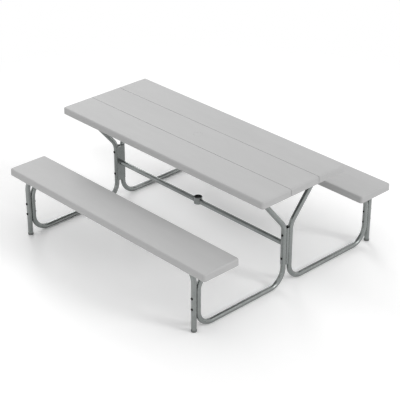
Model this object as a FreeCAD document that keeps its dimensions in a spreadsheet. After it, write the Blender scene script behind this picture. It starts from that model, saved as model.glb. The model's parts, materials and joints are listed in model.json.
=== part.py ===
import FreeCAD, Part

import math
import os

import Sketcher
from FreeCAD import Placement, Rotation, Vector

# Picnic table with two attached benches. The origin is on the floor under the
# centre of the top. X runs along the planks, Y across them and Z is up.
# "Right" is +X, "left" is -X, "back" is +Y and "front" is -Y.

# Driving sizes, in millimetres, and a few counts and shares.
SIZES = {
    # Planks of the top and of the two seats
    "top_length": 1774,
    "top_height": 724,
    "plank_width": 231,
    "seam_gap": 2.5,
    "seat_setback": 2,
    "seat_height": 440,
    "seat_width": 272,
    "seat_reach": 791,
    "plank_thickness": 45,
    "skin": 5,
    "plank_wall": 5,
    "rib_thickness": 3.5,
    "rib_recess": 3,
    "cross_ribs": 15,
    "long_ribs": 2,
    "edge_radius": 10,
    "corner_radius": 16,
    "seam_radius": 2,
    "rim_radius": 1.5,
    "boss_diameter": 17,
    "plank_screw_share": 0.25,
    # Bent frame tubes and outer bench legs
    "tube_diameter": 32,
    "tube_wall": 1.5,
    "bend_radius": 105,
    "frame_inset": 126,
    "arm_corner_height": 399,
    "arm_end_offset": 25.5,
    "leg_inset": 39,
    "loop_corner_drop": 97.8,
    "loop_end_inset": 115,
    "leg_corner_drop": 37,
    "leg_run": 31,
    # Posts between the column tubes, and the plates on the inner side of both
    "post_width": 20,
    "post_recess": 6,
    "post_wall": 1.5,
    "post_corner_radius": 3,
    "post_lift": 16,
    "post_top_drop": 15,
    "post_bolt_low_share": 0.2,
    "post_bolt_high_share": 0.158,
    "joint_plate_width": 64,
    "joint_plate_thickness": 3,
    "joint_plate_corner_radius": 4,
    "leg_bolt_low_share": 0.24,
    "leg_bolt_high_share": 0.77,
    # Stretcher with the parasol ring
    "stretcher_height": 265,
    "ring_diameter": 55,
    "ring_wall": 3,
    "ring_height": 45,
    "ring_lift": 6.5,
    "ring_edge": 0.8,
    "ring_gap": 1.5,
    "spigot_length": 60,
    "spigot_wall": 2,
    "spigot_clearance": 0.2,
    "ring_screw_inset": 9,
    # Channels under the top
    "rail_thickness": 2.5,
    "rail_clearance": 0.5,
    "rail_depth": 30,
    "rail_inset": 40,
    "rail_bolt_drop": 13,
    "batten_width": 40,
    "batten_depth": 12,
    "batten_thickness": 2,
    "batten_offset": 330,
    # Straps under the seats
    "bracket_thickness": 3,
    "bracket_width": 50,
    "bracket_overhang": 58,
    "bracket_inset": 3,
    "bracket_corner_radius": 5,
    "bracket_screw_edge": 18,
    "bracket_screw_low_share": 0.42,
    "bracket_screw_high_share": 0.78,
    # Foot caps of the bench legs
    "foot_wall": 1.6,
    "foot_height": 14,
    "foot_floor": 5,
    "foot_rounding": 4,
    "foot_clearance": 0.1,
    # Bolts with domed heads and their nuts
    "bolt_diameter": 6,
    "bolt_clearance": 0.3,
    "bolt_head_diameter": 13,
    "bolt_head_height": 2.6,
    "bolt_head_rounding": 1.8,
    "bolt_socket": 5,
    "bolt_socket_depth": 1.6,
    "bolt_end": 0.8,
    "nut_width": 10,
    "nut_height": 3.2,
    "nut_chamfer": 0.5,
    "thread_clearance": 0.1,
    # Screws
    "screw_diameter": 5,
    "screw_length": 25,
    "screw_head_diameter": 10,
    "screw_head_height": 3,
    "screw_head_rounding": 2,
    "screw_clearance": 0.1,
    "screw_relief": 2,
    "ring_screw_length": 6,
    # Parasol hole of the middle plank and its lift-out cap
    "hole_sleeve_wall": 4,
    "cap_diameter": 58,
    "cap_thickness": 3.5,
    "cap_clearance": 0.3,
    "cap_skirt_depth": 14,
    "cap_skirt_wall": 2.2,
    "cap_edge": 0.4,
    # How far a cut runs past what it cuts
    "cut_overrun": 5,
}

# Places and lengths worked out from the driving sizes.
PLACES = {
    "frame_x": "Sizes.top_length / 2 - Sizes.frame_inset",
    "tube_radius": "Sizes.tube_diameter / 2",
    "tube_bore": "tube_radius - Sizes.tube_wall",
    "plank_pitch": "Sizes.plank_width + Sizes.seam_gap",
    "top_half_width": "plank_pitch + Sizes.plank_width / 2",
    "top_underside": "Sizes.top_height - Sizes.plank_thickness",
    "seat_underside": "Sizes.seat_height - Sizes.plank_thickness",
    "seat_length": "Sizes.top_length - 2 * Sizes.seat_setback",
    "seat_y": "Sizes.seat_reach - Sizes.seat_width / 2",
    "rail_underside": "top_underside - Sizes.rail_thickness",
    "bracket_underside": "seat_underside - Sizes.bracket_thickness",
    # Column tubes and arms
    "column_y": "Sizes.post_width / 2 + tube_radius",
    "arm_end_y": "plank_pitch + Sizes.arm_end_offset",
    "arm_rise": "rail_underside - Sizes.arm_corner_height",
    "arm_run": "arm_end_y - column_y",
    "arm_tip_y": "arm_end_y + arm_run * Sizes.tube_diameter / arm_rise",
    "arm_tip_z": "rail_underside + Sizes.tube_diameter",
    "rail_bolt_z": "rail_underside - Sizes.rail_bolt_drop",
    "rail_bolt_y": "arm_end_y - arm_run * Sizes.rail_bolt_drop / arm_rise",
    # Uprights under the seats
    "leg_y": "Sizes.seat_reach - Sizes.leg_inset",
    "loop_y": "leg_y - Sizes.tube_diameter",
    "loop_corner_z": "bracket_underside - Sizes.loop_corner_drop",
    "loop_end_y": "Sizes.seat_reach - Sizes.seat_width + Sizes.loop_end_inset",
    "loop_run": "loop_y - loop_end_y",
    "loop_tip_y": "loop_end_y - loop_run * Sizes.tube_diameter / Sizes.loop_corner_drop",
    "seat_tip_z": "bracket_underside + Sizes.tube_diameter",
    "leg_corner_z": "bracket_underside - Sizes.leg_corner_drop",
    "leg_tip_x": "Sizes.leg_run * (Sizes.leg_corner_drop + Sizes.tube_diameter) / Sizes.leg_corner_drop",
    "bend_top": "tube_radius + Sizes.bend_radius",
    "flare_half_angle": "atan(loop_run / Sizes.loop_corner_drop) / 2",
    "flare_start": "loop_corner_z - Sizes.bend_radius * tan(flare_half_angle)",
    "leg_bolt_low": "bend_top + Sizes.leg_bolt_low_share * (flare_start - bend_top)",
    "leg_bolt_high": "bend_top + Sizes.leg_bolt_high_share * (flare_start - bend_top)",
    # Posts, stretcher and ring
    "post_outer": "tube_radius - Sizes.post_recess",
    "post_top": "Sizes.arm_corner_height - Sizes.post_top_drop",
    "post_bottom": "bend_top + Sizes.post_lift",
    "post_height": "post_top - post_bottom",
    "column_bolt_low": "post_bottom + Sizes.post_bolt_low_share * post_height",
    "column_bolt_high": "post_top - Sizes.post_bolt_high_share * post_height",
    "stretcher_end": "frame_x - tube_radius - Sizes.joint_plate_thickness",
    "ring_middle": "Sizes.stretcher_height + Sizes.ring_lift",
    "stretcher_start": "Sizes.ring_diameter / 2 + Sizes.ring_gap",
    "ring_screw_x": "stretcher_start + Sizes.ring_screw_inset",
    "ring_bore": "Sizes.ring_diameter / 2 - Sizes.ring_wall",
    "spigot_radius": "tube_bore - Sizes.spigot_clearance",
    "spigot_end": "Sizes.ring_diameter / 2 + Sizes.spigot_length",
    # Channels, straps and their screws
    "rail_inner": "Sizes.tube_diameter + 2 * Sizes.rail_clearance",
    "rail_outer": "rail_inner + 2 * Sizes.rail_thickness",
    "rail_half_length": "top_half_width - Sizes.rail_inset",
    "plank_screw_y": "Sizes.plank_screw_share * Sizes.plank_width",
    "bracket_start": "loop_end_y - Sizes.bracket_overhang",
    "bracket_end": "Sizes.seat_reach - Sizes.bracket_inset",
    "bracket_screw_a": "bracket_start + Sizes.bracket_screw_edge",
    "bracket_screw_b": "loop_end_y + Sizes.bracket_screw_low_share * (leg_y - loop_end_y)",
    "bracket_screw_c": "loop_end_y + Sizes.bracket_screw_high_share * (leg_y - loop_end_y)",
    "bracket_reach": "Sizes.leg_run + Sizes.tube_diameter",
    # Fasteners
    "bolt_hole": "Sizes.bolt_diameter / 2 + Sizes.bolt_clearance",
    "screw_hole": "Sizes.screw_diameter / 2 + Sizes.screw_clearance",
    "column_grip": "2 * (column_y + tube_radius)",
    "leg_grip": "2 * Sizes.tube_diameter",
    "leg_face": "leg_y + tube_radius",
    "loop_face": "loop_y - tube_radius",
    "column_face": "column_y + tube_radius",
    "bolt_spare": "Sizes.nut_height + Sizes.bolt_end",
    # Parasol hole
    "hole_sleeve_radius": "Sizes.cap_diameter / 2 + Sizes.cap_clearance + Sizes.hole_sleeve_wall",
    "cap_seat_radius": "Sizes.cap_diameter / 2 + Sizes.cap_clearance",
    "cap_skirt_radius": "ring_bore - Sizes.cap_clearance",
}

# Screw places on one plank of the top, on a channel under the top, on a strap and on a seat.
PLANK_SCREWS = ("-Places.plank_screw_y", "Places.plank_screw_y")
TOP_SPOTS = [
    (x, y)
    for x in ("-Places.frame_x", "-Sizes.batten_offset", "Sizes.batten_offset", "Places.frame_x")
    for y in PLANK_SCREWS
]
CHANNEL_SCREWS = [
    f"{plank} + {spot}"
    for plank in ("-Places.plank_pitch", "0", "Places.plank_pitch")
    for spot in PLANK_SCREWS
]
BRACKET_SCREWS = ("Places.bracket_screw_a", "Places.bracket_screw_b", "Places.bracket_screw_c")
SEAT_SPOTS = [
    (x, f"{y} - Places.seat_y") for x in ("-Places.frame_x", "Places.frame_x") for y in BRACKET_SCREWS
]

# Heights of the bolts through the columns and through the bench legs
COLUMN_BOLT_HEIGHTS = ("Places.column_bolt_low", "Places.column_bolt_high")
LEG_BOLT_HEIGHTS = ("Places.leg_bolt_low", "Places.leg_bolt_high")

# Turns that point a fastener's head along an axis
HEAD_FRONT = (Vector(1, 0, 0), 90)
HEAD_BACK = (Vector(1, 0, 0), -90)
HEAD_RIGHT = (Vector(0, 1, 0), 90)
HEAD_LEFT = (Vector(0, 1, 0), -90)
HEAD_DOWN = (Vector(1, 0, 0), 180)
HEAD_UP = (Vector(0, 0, 1), 0)
FULL_TURN = 360

# Two coordinates closer than this many millimetres are the same place.
SMALL = 0.0025

# A bent tube's volume is its section times its path's length, within this share.
TUBE_TOLERANCE_SHARE = 0.01

doc = FreeCAD.newDocument("PicnicTable")


def make_sheet(name, cells, prefix=""):
    """Fill a spreadsheet: names in column A, values with those names as aliases in B."""
    sheet = doc.addObject("Spreadsheet::Sheet", name)
    for row, (alias, content) in enumerate(cells.items(), start=1):
        sheet.set(f"A{row}", alias)
        sheet.set(f"B{row}", f"{prefix}{content}")
        sheet.setAlias(f"B{row}", alias)
    doc.recompute()
    return sheet


sizes = make_sheet("Sizes", SIZES)
places = make_sheet("Places", PLACES, prefix="=")


def value(expression):
    """Give the number that an expression on the two sheets stands for."""
    result = sizes.evalExpression(expression)
    return float(getattr(result, "Value", result))


def bind(thing, bindings):
    """Bind properties of an object to expressions."""
    for path, expression in bindings.items():
        thing.setExpression(path, expression)


def put(thing, x="0", y="0", z="0", turn=0, axis=Vector(0, 0, 1)):
    """Place an object at bound coordinates, turned by whole degrees about an axis."""
    thing.Placement = Placement(Vector(value(x), value(y), value(z)), Rotation(axis, turn))
    bind(thing, {"Placement.Base.x": x, "Placement.Base.y": y, "Placement.Base.z": z})
    return thing


# Sketches

def add_sketch(body, name, role, offset=None):
    """Start a sketch on one of the body's own origin planes."""
    sketch = body.newObject("Sketcher::SketchObject", name)
    plane = next(part for part in body.Origin.OriginFeatures if part.Role == role)
    sketch.AttachmentSupport = [(plane, "")]
    sketch.MapMode = "FlatFace"
    if offset:
        sketch.setExpression("AttachmentOffset.Base.z", offset)
    return sketch


def constrain(sketch, kind, *picks, expression):
    """Add a dimension to a sketch and bind it."""
    index = sketch.addConstraint(Sketcher.Constraint(kind, *picks, value(expression)))
    sketch.setExpression(f"Constraints[{index}]", expression)


def fix_point(sketch, geometry, position, x, y):
    """Fix a point of a sketch at bound coordinates from the sketch's origin."""
    for kind, expression, axis in (("DistanceX", x, -2), ("DistanceY", y, -1)):
        if expression == "0":
            sketch.addConstraint(Sketcher.Constraint("PointOnObject", geometry, position, axis))
        else:
            constrain(sketch, kind, -1, 1, geometry, position, expression=expression)


def outline(sketch, corners):
    """Draw a closed outline of straight lines through bound corners."""
    points = [Vector(value(x), value(y), 0) for x, y in corners]
    lines = [
        sketch.addGeometry(Part.LineSegment(start, end), False)
        for start, end in zip(points, points[1:] + points[:1])
    ]
    for line, following in zip(lines, lines[1:] + lines[:1]):
        sketch.addConstraint(Sketcher.Constraint("Coincident", line, 2, following, 1))
    for line, (x, y) in zip(lines, corners):
        fix_point(sketch, line, 1, x, y)


def rectangle(sketch, left, bottom, right, top):
    """Draw a rectangle with bound sides."""
    outline(sketch, [(left, bottom), (right, bottom), (right, top), (left, top)])


def circle(sketch, x, y, radius):
    """Draw a circle with a bound centre and radius."""
    centre = Vector(value(x), value(y), 0)
    index = sketch.addGeometry(Part.Circle(centre, Vector(0, 0, 1), value(radius)), False)
    fix_point(sketch, index, 3, x, y)
    constrain(sketch, "Radius", index, expression=radius)


def hexagon(sketch, width):
    """Draw a hexagon around the sketch's origin, with a bound width across its flats."""
    corner = f"{width} / 2 / cos(30)"
    outline(sketch, [(f"({corner}) * cos({60 * i})", f"({corner}) * sin({60 * i})") for i in range(6)])


def bent_line(sketch, corners, radius):
    """Draw straight runs through bound corners, joined by tangent arcs of a bound radius."""
    points = [Vector(value(x), value(y), 0) for x, y in corners]
    size = value(radius)
    ways = [(end - start).normalize() for start, end in zip(points, points[1:])]
    starts, ends = [points[0]], []
    for corner, way, onward in zip(points[1:-1], ways, ways[1:]):
        tangent = size * math.tan(way.getAngle(onward) / 2)
        ends.append(corner - way * tangent)
        starts.append(corner + onward * tangent)
    ends.append(points[-1])
    runs = []
    bends = []
    for index, (start, end) in enumerate(zip(starts, ends)):
        runs.append(sketch.addGeometry(Part.LineSegment(start, end), False))
        if index < len(starts) - 1:
            way, onward = ways[index], ways[index + 1]
            middle = (onward - way).normalize()
            centre = points[index + 1] + middle * (size / math.cos(way.getAngle(onward) / 2))
            left_turn = way.cross(onward).z > 0
            first, last = (end, starts[index + 1]) if left_turn else (starts[index + 1], end)
            begin = math.atan2(first.y - centre.y, first.x - centre.x)
            finish = math.atan2(last.y - centre.y, last.x - centre.x)
            finish += 2 * math.pi if finish < begin else 0
            full = Part.Circle(centre, Vector(0, 0, 1), size)
            arc = sketch.addGeometry(Part.ArcOfCircle(full, begin, finish), False)
            bends.append((arc, 1 if left_turn else 2))
    fix_point(sketch, runs[0], 1, *corners[0])
    fix_point(sketch, runs[-1], 2, *corners[-1])
    for index, ((x, y), (arc, near)) in enumerate(zip(corners[1:-1], bends)):
        corner = sketch.addGeometry(Part.Point(points[index + 1]), True)
        fix_point(sketch, corner, 1, x, y)
        sketch.addConstraint(Sketcher.Constraint("PointOnObject", corner, 1, runs[index]))
        sketch.addConstraint(Sketcher.Constraint("PointOnObject", corner, 1, runs[index + 1]))
        sketch.addConstraint(Sketcher.Constraint("Tangent", runs[index], 2, arc, near))
        sketch.addConstraint(Sketcher.Constraint("Tangent", runs[index + 1], 1, arc, 3 - near))
        constrain(sketch, "Radius", arc, expression=radius)


# Features

def pad(body, sketch, length, symmetric=False, backward=False):
    """Pad a sketch by a bound length."""
    feature = body.newObject("PartDesign::Pad", f"{sketch.Name}Pad")
    feature.Profile = sketch
    feature.SideType = "Symmetric" if symmetric else "One side"
    feature.Reversed = backward
    feature.setExpression("Length", length)
    doc.recompute()
    return feature


def pocket(body, sketch, depth=None, symmetric=False, backward=False):
    """Cut a sketch into the body, by a bound depth or right through, and see that it cuts."""
    before = body.Shape.Volume
    feature = body.newObject("PartDesign::Pocket", f"{sketch.Name}Pocket")
    feature.Profile = sketch
    feature.SideType = "Symmetric" if symmetric else "One side"
    feature.Reversed = backward
    if depth:
        feature.setExpression("Length", depth)
    else:
        feature.Type = "ThroughAll"
    doc.recompute()
    if not body.Shape.Volume < before:
        raise RuntimeError(f"{feature.Name} of {body.Label} cuts nothing")
    return feature


def repeat(body, feature, role, span, count):
    """Repeat a feature evenly over a bound span along one of the body's origin axes."""
    pattern = body.newObject("PartDesign::LinearPattern", f"{feature.Name}Pattern")
    pattern.Originals = [feature]
    axis = next(part for part in body.Origin.OriginFeatures if part.Role == role)
    pattern.Direction = (axis, [""])
    pattern.setExpression("Length", span)
    pattern.setExpression("Occurrences", count)
    body.Tip = pattern
    doc.recompute()
    return pattern


def round_edges(body, name, radius, chosen):
    """Fillet, by a bound radius, the body's edges that a test picks by their place."""
    base = body.Tip
    names = [f"Edge{i}" for i, edge in enumerate(base.Shape.Edges, start=1) if chosen(edge)]
    if not names:
        raise RuntimeError(f"{name} of {body.Label} finds no edge")
    feature = body.newObject("PartDesign::Fillet", name)
    feature.Base = (base, names)
    feature.setExpression("Radius", radius)
    doc.recompute()
    return feature


def new_body(label):
    """Start a body."""
    body = doc.addObject("PartDesign::Body", "".join(word.capitalize() for word in label.split("_")))
    body.Label = label
    return body


def lies_at(edge, axis, place):
    """Tell whether the whole edge lies at one place along an axis."""
    box = edge.BoundBox
    low, high = ((box.XMin, box.XMax), (box.YMin, box.YMax), (box.ZMin, box.ZMax))[axis]
    return abs(low - place) < SMALL and abs(high - place) < SMALL


def is_upright(edge):
    """Tell whether an edge is a straight vertical line."""
    box = edge.BoundBox
    return box.XLength < SMALL and box.YLength < SMALL and box.ZLength > SMALL


# Planks: a rounded block, less a core that leaves walls, ribs and screw bosses

def plank_block(body, length, width, rounded_sides, seam_sides):
    """Make the outer block of a plank, with its underside at the body's origin."""
    sketch = add_sketch(body, "Outline", "XY_Plane")
    rectangle(sketch, f"-{length} / 2", f"-{width} / 2", f"{length} / 2", f"{width} / 2")
    pad(body, sketch, "Sizes.plank_thickness")
    half_width = value(f"{width} / 2")
    top = value("Sizes.plank_thickness")

    def is_plain_side(edge):
        return any(lies_at(edge, 1, side * half_width) for side in seam_sides)

    if rounded_sides:
        round_edges(
            body, "Corners", "Sizes.corner_radius",
            lambda edge: is_upright(edge) and not is_plain_side(edge),
        )
    round_edges(
        body, "TopEdges", "Sizes.edge_radius",
        lambda edge: lies_at(edge, 2, top) and not is_plain_side(edge),
    )
    if seam_sides:
        round_edges(
            body, "SeamEdges", "Sizes.seam_radius",
            lambda edge: is_plain_side(edge) and not lies_at(edge, 2, 0),
        )
    round_edges(
        body, "RimEdges", "Sizes.rim_radius",
        lambda edge: lies_at(edge, 2, 0) and not is_plain_side(edge),
    )


def plank_core(body, length, width, rounded_sides, seam_sides, bosses):
    """Make the hollow of a plank as a solid, cut away where ribs and bosses stand."""
    half_length = f"({length} / 2 - Sizes.plank_wall)"
    half_width = f"({width} / 2 - Sizes.plank_wall)"
    sketch = add_sketch(body, "Hollow", "XY_Plane", "-Sizes.cut_overrun")
    rectangle(sketch, f"-{half_length}", f"-{half_width}", half_length, half_width)
    pad(body, sketch, "Sizes.plank_thickness - Sizes.skin + Sizes.cut_overrun")
    top = value("Sizes.plank_thickness - Sizes.skin")
    side_y = value(half_width)

    def is_plain_side(edge):
        return any(lies_at(edge, 1, side * side_y) for side in seam_sides)

    if rounded_sides:
        round_edges(
            body, "HollowCorners", "Sizes.corner_radius - Sizes.plank_wall",
            lambda edge: is_upright(edge) and not is_plain_side(edge),
        )
    round_edges(
        body, "HollowEdges", "Sizes.edge_radius - Sizes.skin",
        lambda edge: lies_at(edge, 2, top) and not is_plain_side(edge),
    )
    cross_pitch = f"(2 * {half_length} / (Sizes.cross_ribs + 1))"
    first_x = f"(-{half_length} + {cross_pitch})"
    far_y = f"({half_width} + Sizes.cut_overrun)"
    sketch = add_sketch(body, "CrossRib", "XY_Plane", "Sizes.rib_recess")
    rectangle(
        sketch, f"{first_x} - Sizes.rib_thickness / 2", f"-{far_y}",
        f"{first_x} + Sizes.rib_thickness / 2", far_y,
    )
    slot = pocket(body, sketch, backward=True)
    repeat(body, slot, "X_Axis", f"{cross_pitch} * (Sizes.cross_ribs - 1)", "Sizes.cross_ribs")
    long_pitch = f"(2 * {half_width} / (Sizes.long_ribs + 1))"
    first_y = f"(-{half_width} + {long_pitch})"
    far_x = f"({half_length} + Sizes.cut_overrun)"
    sketch = add_sketch(body, "LongRib", "XY_Plane", "Sizes.rib_recess")
    rectangle(
        sketch, f"-{far_x}", f"{first_y} - Sizes.rib_thickness / 2",
        far_x, f"{first_y} + Sizes.rib_thickness / 2",
    )
    slot = pocket(body, sketch, backward=True)
    repeat(body, slot, "Y_Axis", f"{long_pitch} * (Sizes.long_ribs - 1)", "Sizes.long_ribs")
    sketch = add_sketch(body, "Bosses", "XY_Plane")
    for x, y, radius in bosses:
        circle(sketch, x, y, radius)
    pocket(body, sketch, symmetric=True)


def drill_pilots(body, spots):
    """Drill the screw holes up into the bosses of a plank."""
    sketch = add_sketch(body, "Pilots", "XY_Plane")
    for x, y in spots:
        circle(sketch, x, y, "Places.screw_hole")
    pocket(body, sketch, "Sizes.screw_length + Sizes.screw_relief", backward=True)


def drill_parasol_hole(body):
    """Drill the parasol hole and the shallow seat of its cap."""
    sketch = add_sketch(body, "ParasolHole", "XY_Plane")
    circle(sketch, "0", "0", "Places.ring_bore")
    pocket(body, sketch, symmetric=True)
    sketch = add_sketch(body, "CapSeat", "XY_Plane", "Sizes.plank_thickness - Sizes.cap_thickness")
    circle(sketch, "0", "0", "Places.cap_seat_radius")
    pocket(body, sketch, backward=True)


def plank_bodies(name, length, width, rounded_sides, spots, parasol_hole=False):
    """Make the block and the core of one kind of plank."""
    seam_sides = [side for side in (-1, 1) if side not in rounded_sides]
    bosses = [(x, y, "Sizes.boss_diameter / 2") for x, y in spots]
    block = new_body(f"{name}_block")
    plank_block(block, length, width, rounded_sides, seam_sides)
    drill_pilots(block, spots)
    if parasol_hole:
        drill_parasol_hole(block)
        bosses.append(("0", "0", "Places.hole_sleeve_radius"))
    core = new_body(f"{name}_core")
    plank_core(core, length, width, rounded_sides, seam_sides, bosses)
    return block, core


def lay_plank(label, bodies, y, underside, turn=0):
    """Cut the core from the block and lay the plank with its underside at a level."""
    plank = doc.addObject("Part::Cut", "".join(word.capitalize() for word in label.split("_")))
    plank.Label = label
    plank.Base, plank.Tool = bodies
    plank.Refine = False
    return put(plank, y=y, z=underside, turn=turn)


def make_top():
    """Make the three planks of the top."""
    outer = plank_bodies("outer_plank", "Sizes.top_length", "Sizes.plank_width", (1,), TOP_SPOTS)
    middle = plank_bodies(
        "middle_plank", "Sizes.top_length", "Sizes.plank_width", (), TOP_SPOTS, parasol_hole=True
    )
    return [
        lay_plank("top_plank_back", outer, "Places.plank_pitch", "Places.top_underside"),
        lay_plank("top_plank_middle", middle, "0", "Places.top_underside"),
        lay_plank("top_plank_front", outer, "-Places.plank_pitch", "Places.top_underside", turn=180),
    ]


def make_seats():
    """Make the two seat planks."""
    seat = plank_bodies("seat_plank", "Places.seat_length", "Sizes.seat_width", (-1, 1), SEAT_SPOTS)
    return [
        lay_plank("seat_plank_back", seat, "Places.seat_y", "Places.seat_underside"),
        lay_plank("seat_plank_front", seat, "-Places.seat_y", "Places.seat_underside", turn=180),
    ]


# Tubes: each is drawn for the back side and turned round for the front

def bend_tube(body, corners, role="YZ_Plane", offset=None):
    """Make a round tube along straight runs joined by bends."""
    path = add_sketch(body, "Path", role, offset)
    bent_line(path, corners, "Sizes.bend_radius")
    doc.recompute()
    section = body.newObject("Sketcher::SketchObject", "Section")
    section.AttachmentSupport = [(path, "Edge1")]
    section.MapMode = "NormalToEdge"
    circle(section, "0", "0", "Places.tube_radius")
    circle(section, "0", "0", "Places.tube_bore")
    pipe = body.newObject("PartDesign::AdditivePipe", "Tube")
    pipe.Profile = section
    pipe.Spine = (path, [f"Edge{i}" for i in range(1, len(path.Shape.Edges) + 1)])
    doc.recompute()
    expected = sum(edge.Length for edge in path.Shape.Edges) * section_area()
    if abs(pipe.Shape.Volume / expected - 1) > TUBE_TOLERANCE_SHARE:
        raise RuntimeError(f"the tube of {body.Label} doesn't follow its path")


def section_area():
    """Give the area of a tube's section."""
    return math.pi * (value("Places.tube_radius") ** 2 - value("Places.tube_bore") ** 2)


def trim_level(body, name, y, z, across="2 * Sizes.tube_diameter"):
    """Cut off everything above a level, within a few tube diameters of a tube's end."""
    sketch = add_sketch(body, name, "YZ_Plane")
    rectangle(
        sketch, f"{y} - 3 * Sizes.tube_diameter", z, f"{y} + 3 * Sizes.tube_diameter",
        f"{z} + 3 * Sizes.tube_diameter",
    )
    pocket(body, sketch, across, symmetric=True)


def drill_across(body, name, middle_y, heights):
    """Drill bolt holes along Y through the tube that stands at one place."""
    sketch = add_sketch(body, name, "XZ_Plane", f"-({middle_y})")
    for z in heights:
        circle(sketch, "0", z, "Places.bolt_hole")
    pocket(body, sketch, "Sizes.tube_diameter + 2 * Sizes.cut_overrun", symmetric=True)


def make_frame_tube(label):
    """Make the long bent tube: arm, column, floor run and flared upright."""
    body = new_body(label)
    bend_tube(body, [
        ("Places.arm_tip_y", "Places.arm_tip_z"),
        ("Places.column_y", "Sizes.arm_corner_height"),
        ("Places.column_y", "Places.tube_radius"),
        ("Places.loop_y", "Places.tube_radius"),
        ("Places.loop_y", "Places.loop_corner_z"),
        ("Places.loop_tip_y", "Places.seat_tip_z"),
    ])
    trim_level(body, "ArmEnd", "Places.arm_end_y", "Places.rail_underside")
    trim_level(body, "LoopEnd", "Places.loop_end_y", "Places.bracket_underside")
    drill_across(body, "ColumnHoles", "Places.column_y", COLUMN_BOLT_HEIGHTS)
    drill_across(body, "LoopHoles", "Places.loop_y", LEG_BOLT_HEIGHTS)
    sketch = add_sketch(body, "ArmHole", "YZ_Plane")
    circle(sketch, "Places.rail_bolt_y", "Places.rail_bolt_z", "Places.bolt_hole")
    pocket(body, sketch, "2 * Sizes.tube_diameter", symmetric=True)
    return body


def make_bench_leg(label, way):
    """Make the outer leg of a bench, which stands in its foot cap and leans inwards at its top."""
    body = new_body(label)
    bend_tube(body, [
        ("0", "Sizes.foot_floor"),
        ("0", "Places.leg_corner_z"),
        (f"{way}Places.leg_tip_x", "Places.seat_tip_z"),
    ], "XZ_Plane", "-Places.leg_y")
    trim_level(body, "LegEnd", "Places.leg_y", "Places.bracket_underside", "6 * Sizes.tube_diameter")
    drill_across(body, "LegHoles", "Places.leg_y", LEG_BOLT_HEIGHTS)
    return body


def make_foot_cap(label):
    """Make the cup-shaped cap under a bench leg."""
    body = new_body(label)
    outside = "(Places.tube_radius + Sizes.foot_clearance + Sizes.foot_wall)"
    sketch = add_sketch(body, "Cup", "XY_Plane")
    circle(sketch, "0", "Places.leg_y", outside)
    pad(body, sketch, "Sizes.foot_height")
    round_edges(body, "Rounding", "Sizes.foot_rounding", lambda edge: lies_at(edge, 2, 0))
    sketch = add_sketch(body, "Socket", "XY_Plane", "Sizes.foot_floor")
    circle(sketch, "0", "Places.leg_y", "Places.tube_radius + Sizes.foot_clearance")
    pocket(body, sketch, backward=True)
    return body


def make_bracket(label, way):
    """Make the flat plate under a seat, on the ends of the two tubes."""
    body = new_body(label)
    sides = ["Sizes.bracket_width / 2", "Places.bracket_reach"]
    left, right = reversed(sides) if way else sides
    sketch = add_sketch(body, "Strap", "XY_Plane")
    rectangle(sketch, f"-{left}", "Places.bracket_start", right, "Places.bracket_end")
    pad(body, sketch, "Sizes.bracket_thickness")
    round_edges(body, "StrapCorners", "Sizes.bracket_corner_radius", is_upright)
    sketch = add_sketch(body, "StrapHoles", "XY_Plane")
    for y in BRACKET_SCREWS:
        circle(sketch, "0", y, "Places.screw_hole")
    pocket(body, sketch, backward=True)
    return body


def make_quadrants():
    """Make the tubes, caps and straps of the four bench ends."""
    parts = []
    for end, x in (("left", "-Places.frame_x"), ("right", "Places.frame_x")):
        for side, turn in (("front", 180), ("back", 0)):
            corner = f"{side}_{end}"
            way = "-" if (end == "right") == (side == "back") else ""
            parts.append(put(make_frame_tube(f"frame_tube_{corner}"), x=x, turn=turn))
            parts.append(put(make_bench_leg(f"bench_leg_{corner}", way), x=x, turn=turn))
            parts.append(put(make_foot_cap(f"foot_cap_{corner}"), x=x, turn=turn))
            bracket = make_bracket(f"seat_bracket_{corner}", way)
            parts.append(put(bracket, x=x, z="Places.bracket_underside", turn=turn))
    return parts


# Posts, stretcher and parasol ring

def make_post(label):
    """Make the right post, the rectangular tube that spaces the two column tubes."""
    body = new_body(label)
    sketch = add_sketch(body, "PostOutline", "XY_Plane")
    rectangle(
        sketch, "-Places.tube_radius", "-Sizes.post_width / 2", "Places.post_outer", "Sizes.post_width / 2"
    )
    pad(body, sketch, "Places.post_height")
    round_edges(body, "PostCorners", "Sizes.post_corner_radius", is_upright)
    sketch = add_sketch(body, "PostBore", "XY_Plane")
    rectangle(
        sketch, "-Places.tube_radius + Sizes.post_wall", "-Sizes.post_width / 2 + Sizes.post_wall",
        "Places.post_outer - Sizes.post_wall", "Sizes.post_width / 2 - Sizes.post_wall",
    )
    pocket(body, sketch, backward=True)
    inner = value("-Places.tube_radius + Sizes.post_wall")
    outer = value("Places.post_outer - Sizes.post_wall")
    round_edges(
        body, "BoreCorners", "Sizes.post_corner_radius - Sizes.post_wall",
        lambda edge: is_upright(edge) and (lies_at(edge, 0, inner) or lies_at(edge, 0, outer)),
    )
    sketch = add_sketch(body, "PostHoles", "XZ_Plane")
    for z in COLUMN_BOLT_HEIGHTS:
        circle(sketch, "0", f"{z} - Places.post_bottom", "Places.bolt_hole")
    pocket(body, sketch, symmetric=True)
    return body


def make_joint_plate(label):
    """Make the right joint plate, flat on the inner side of the column tubes and the post."""
    body = new_body(label)
    sketch = add_sketch(body, "PlateOutline", "YZ_Plane")
    rectangle(sketch, "-Sizes.joint_plate_width / 2", "0", "Sizes.joint_plate_width / 2", "Places.post_height")
    pad(body, sketch, "Sizes.joint_plate_thickness", backward=True)
    round_edges(
        body, "PlateCorners", "Sizes.joint_plate_corner_radius",
        lambda edge: edge.BoundBox.YLength < SMALL and edge.BoundBox.ZLength < SMALL,
    )
    return body


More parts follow.
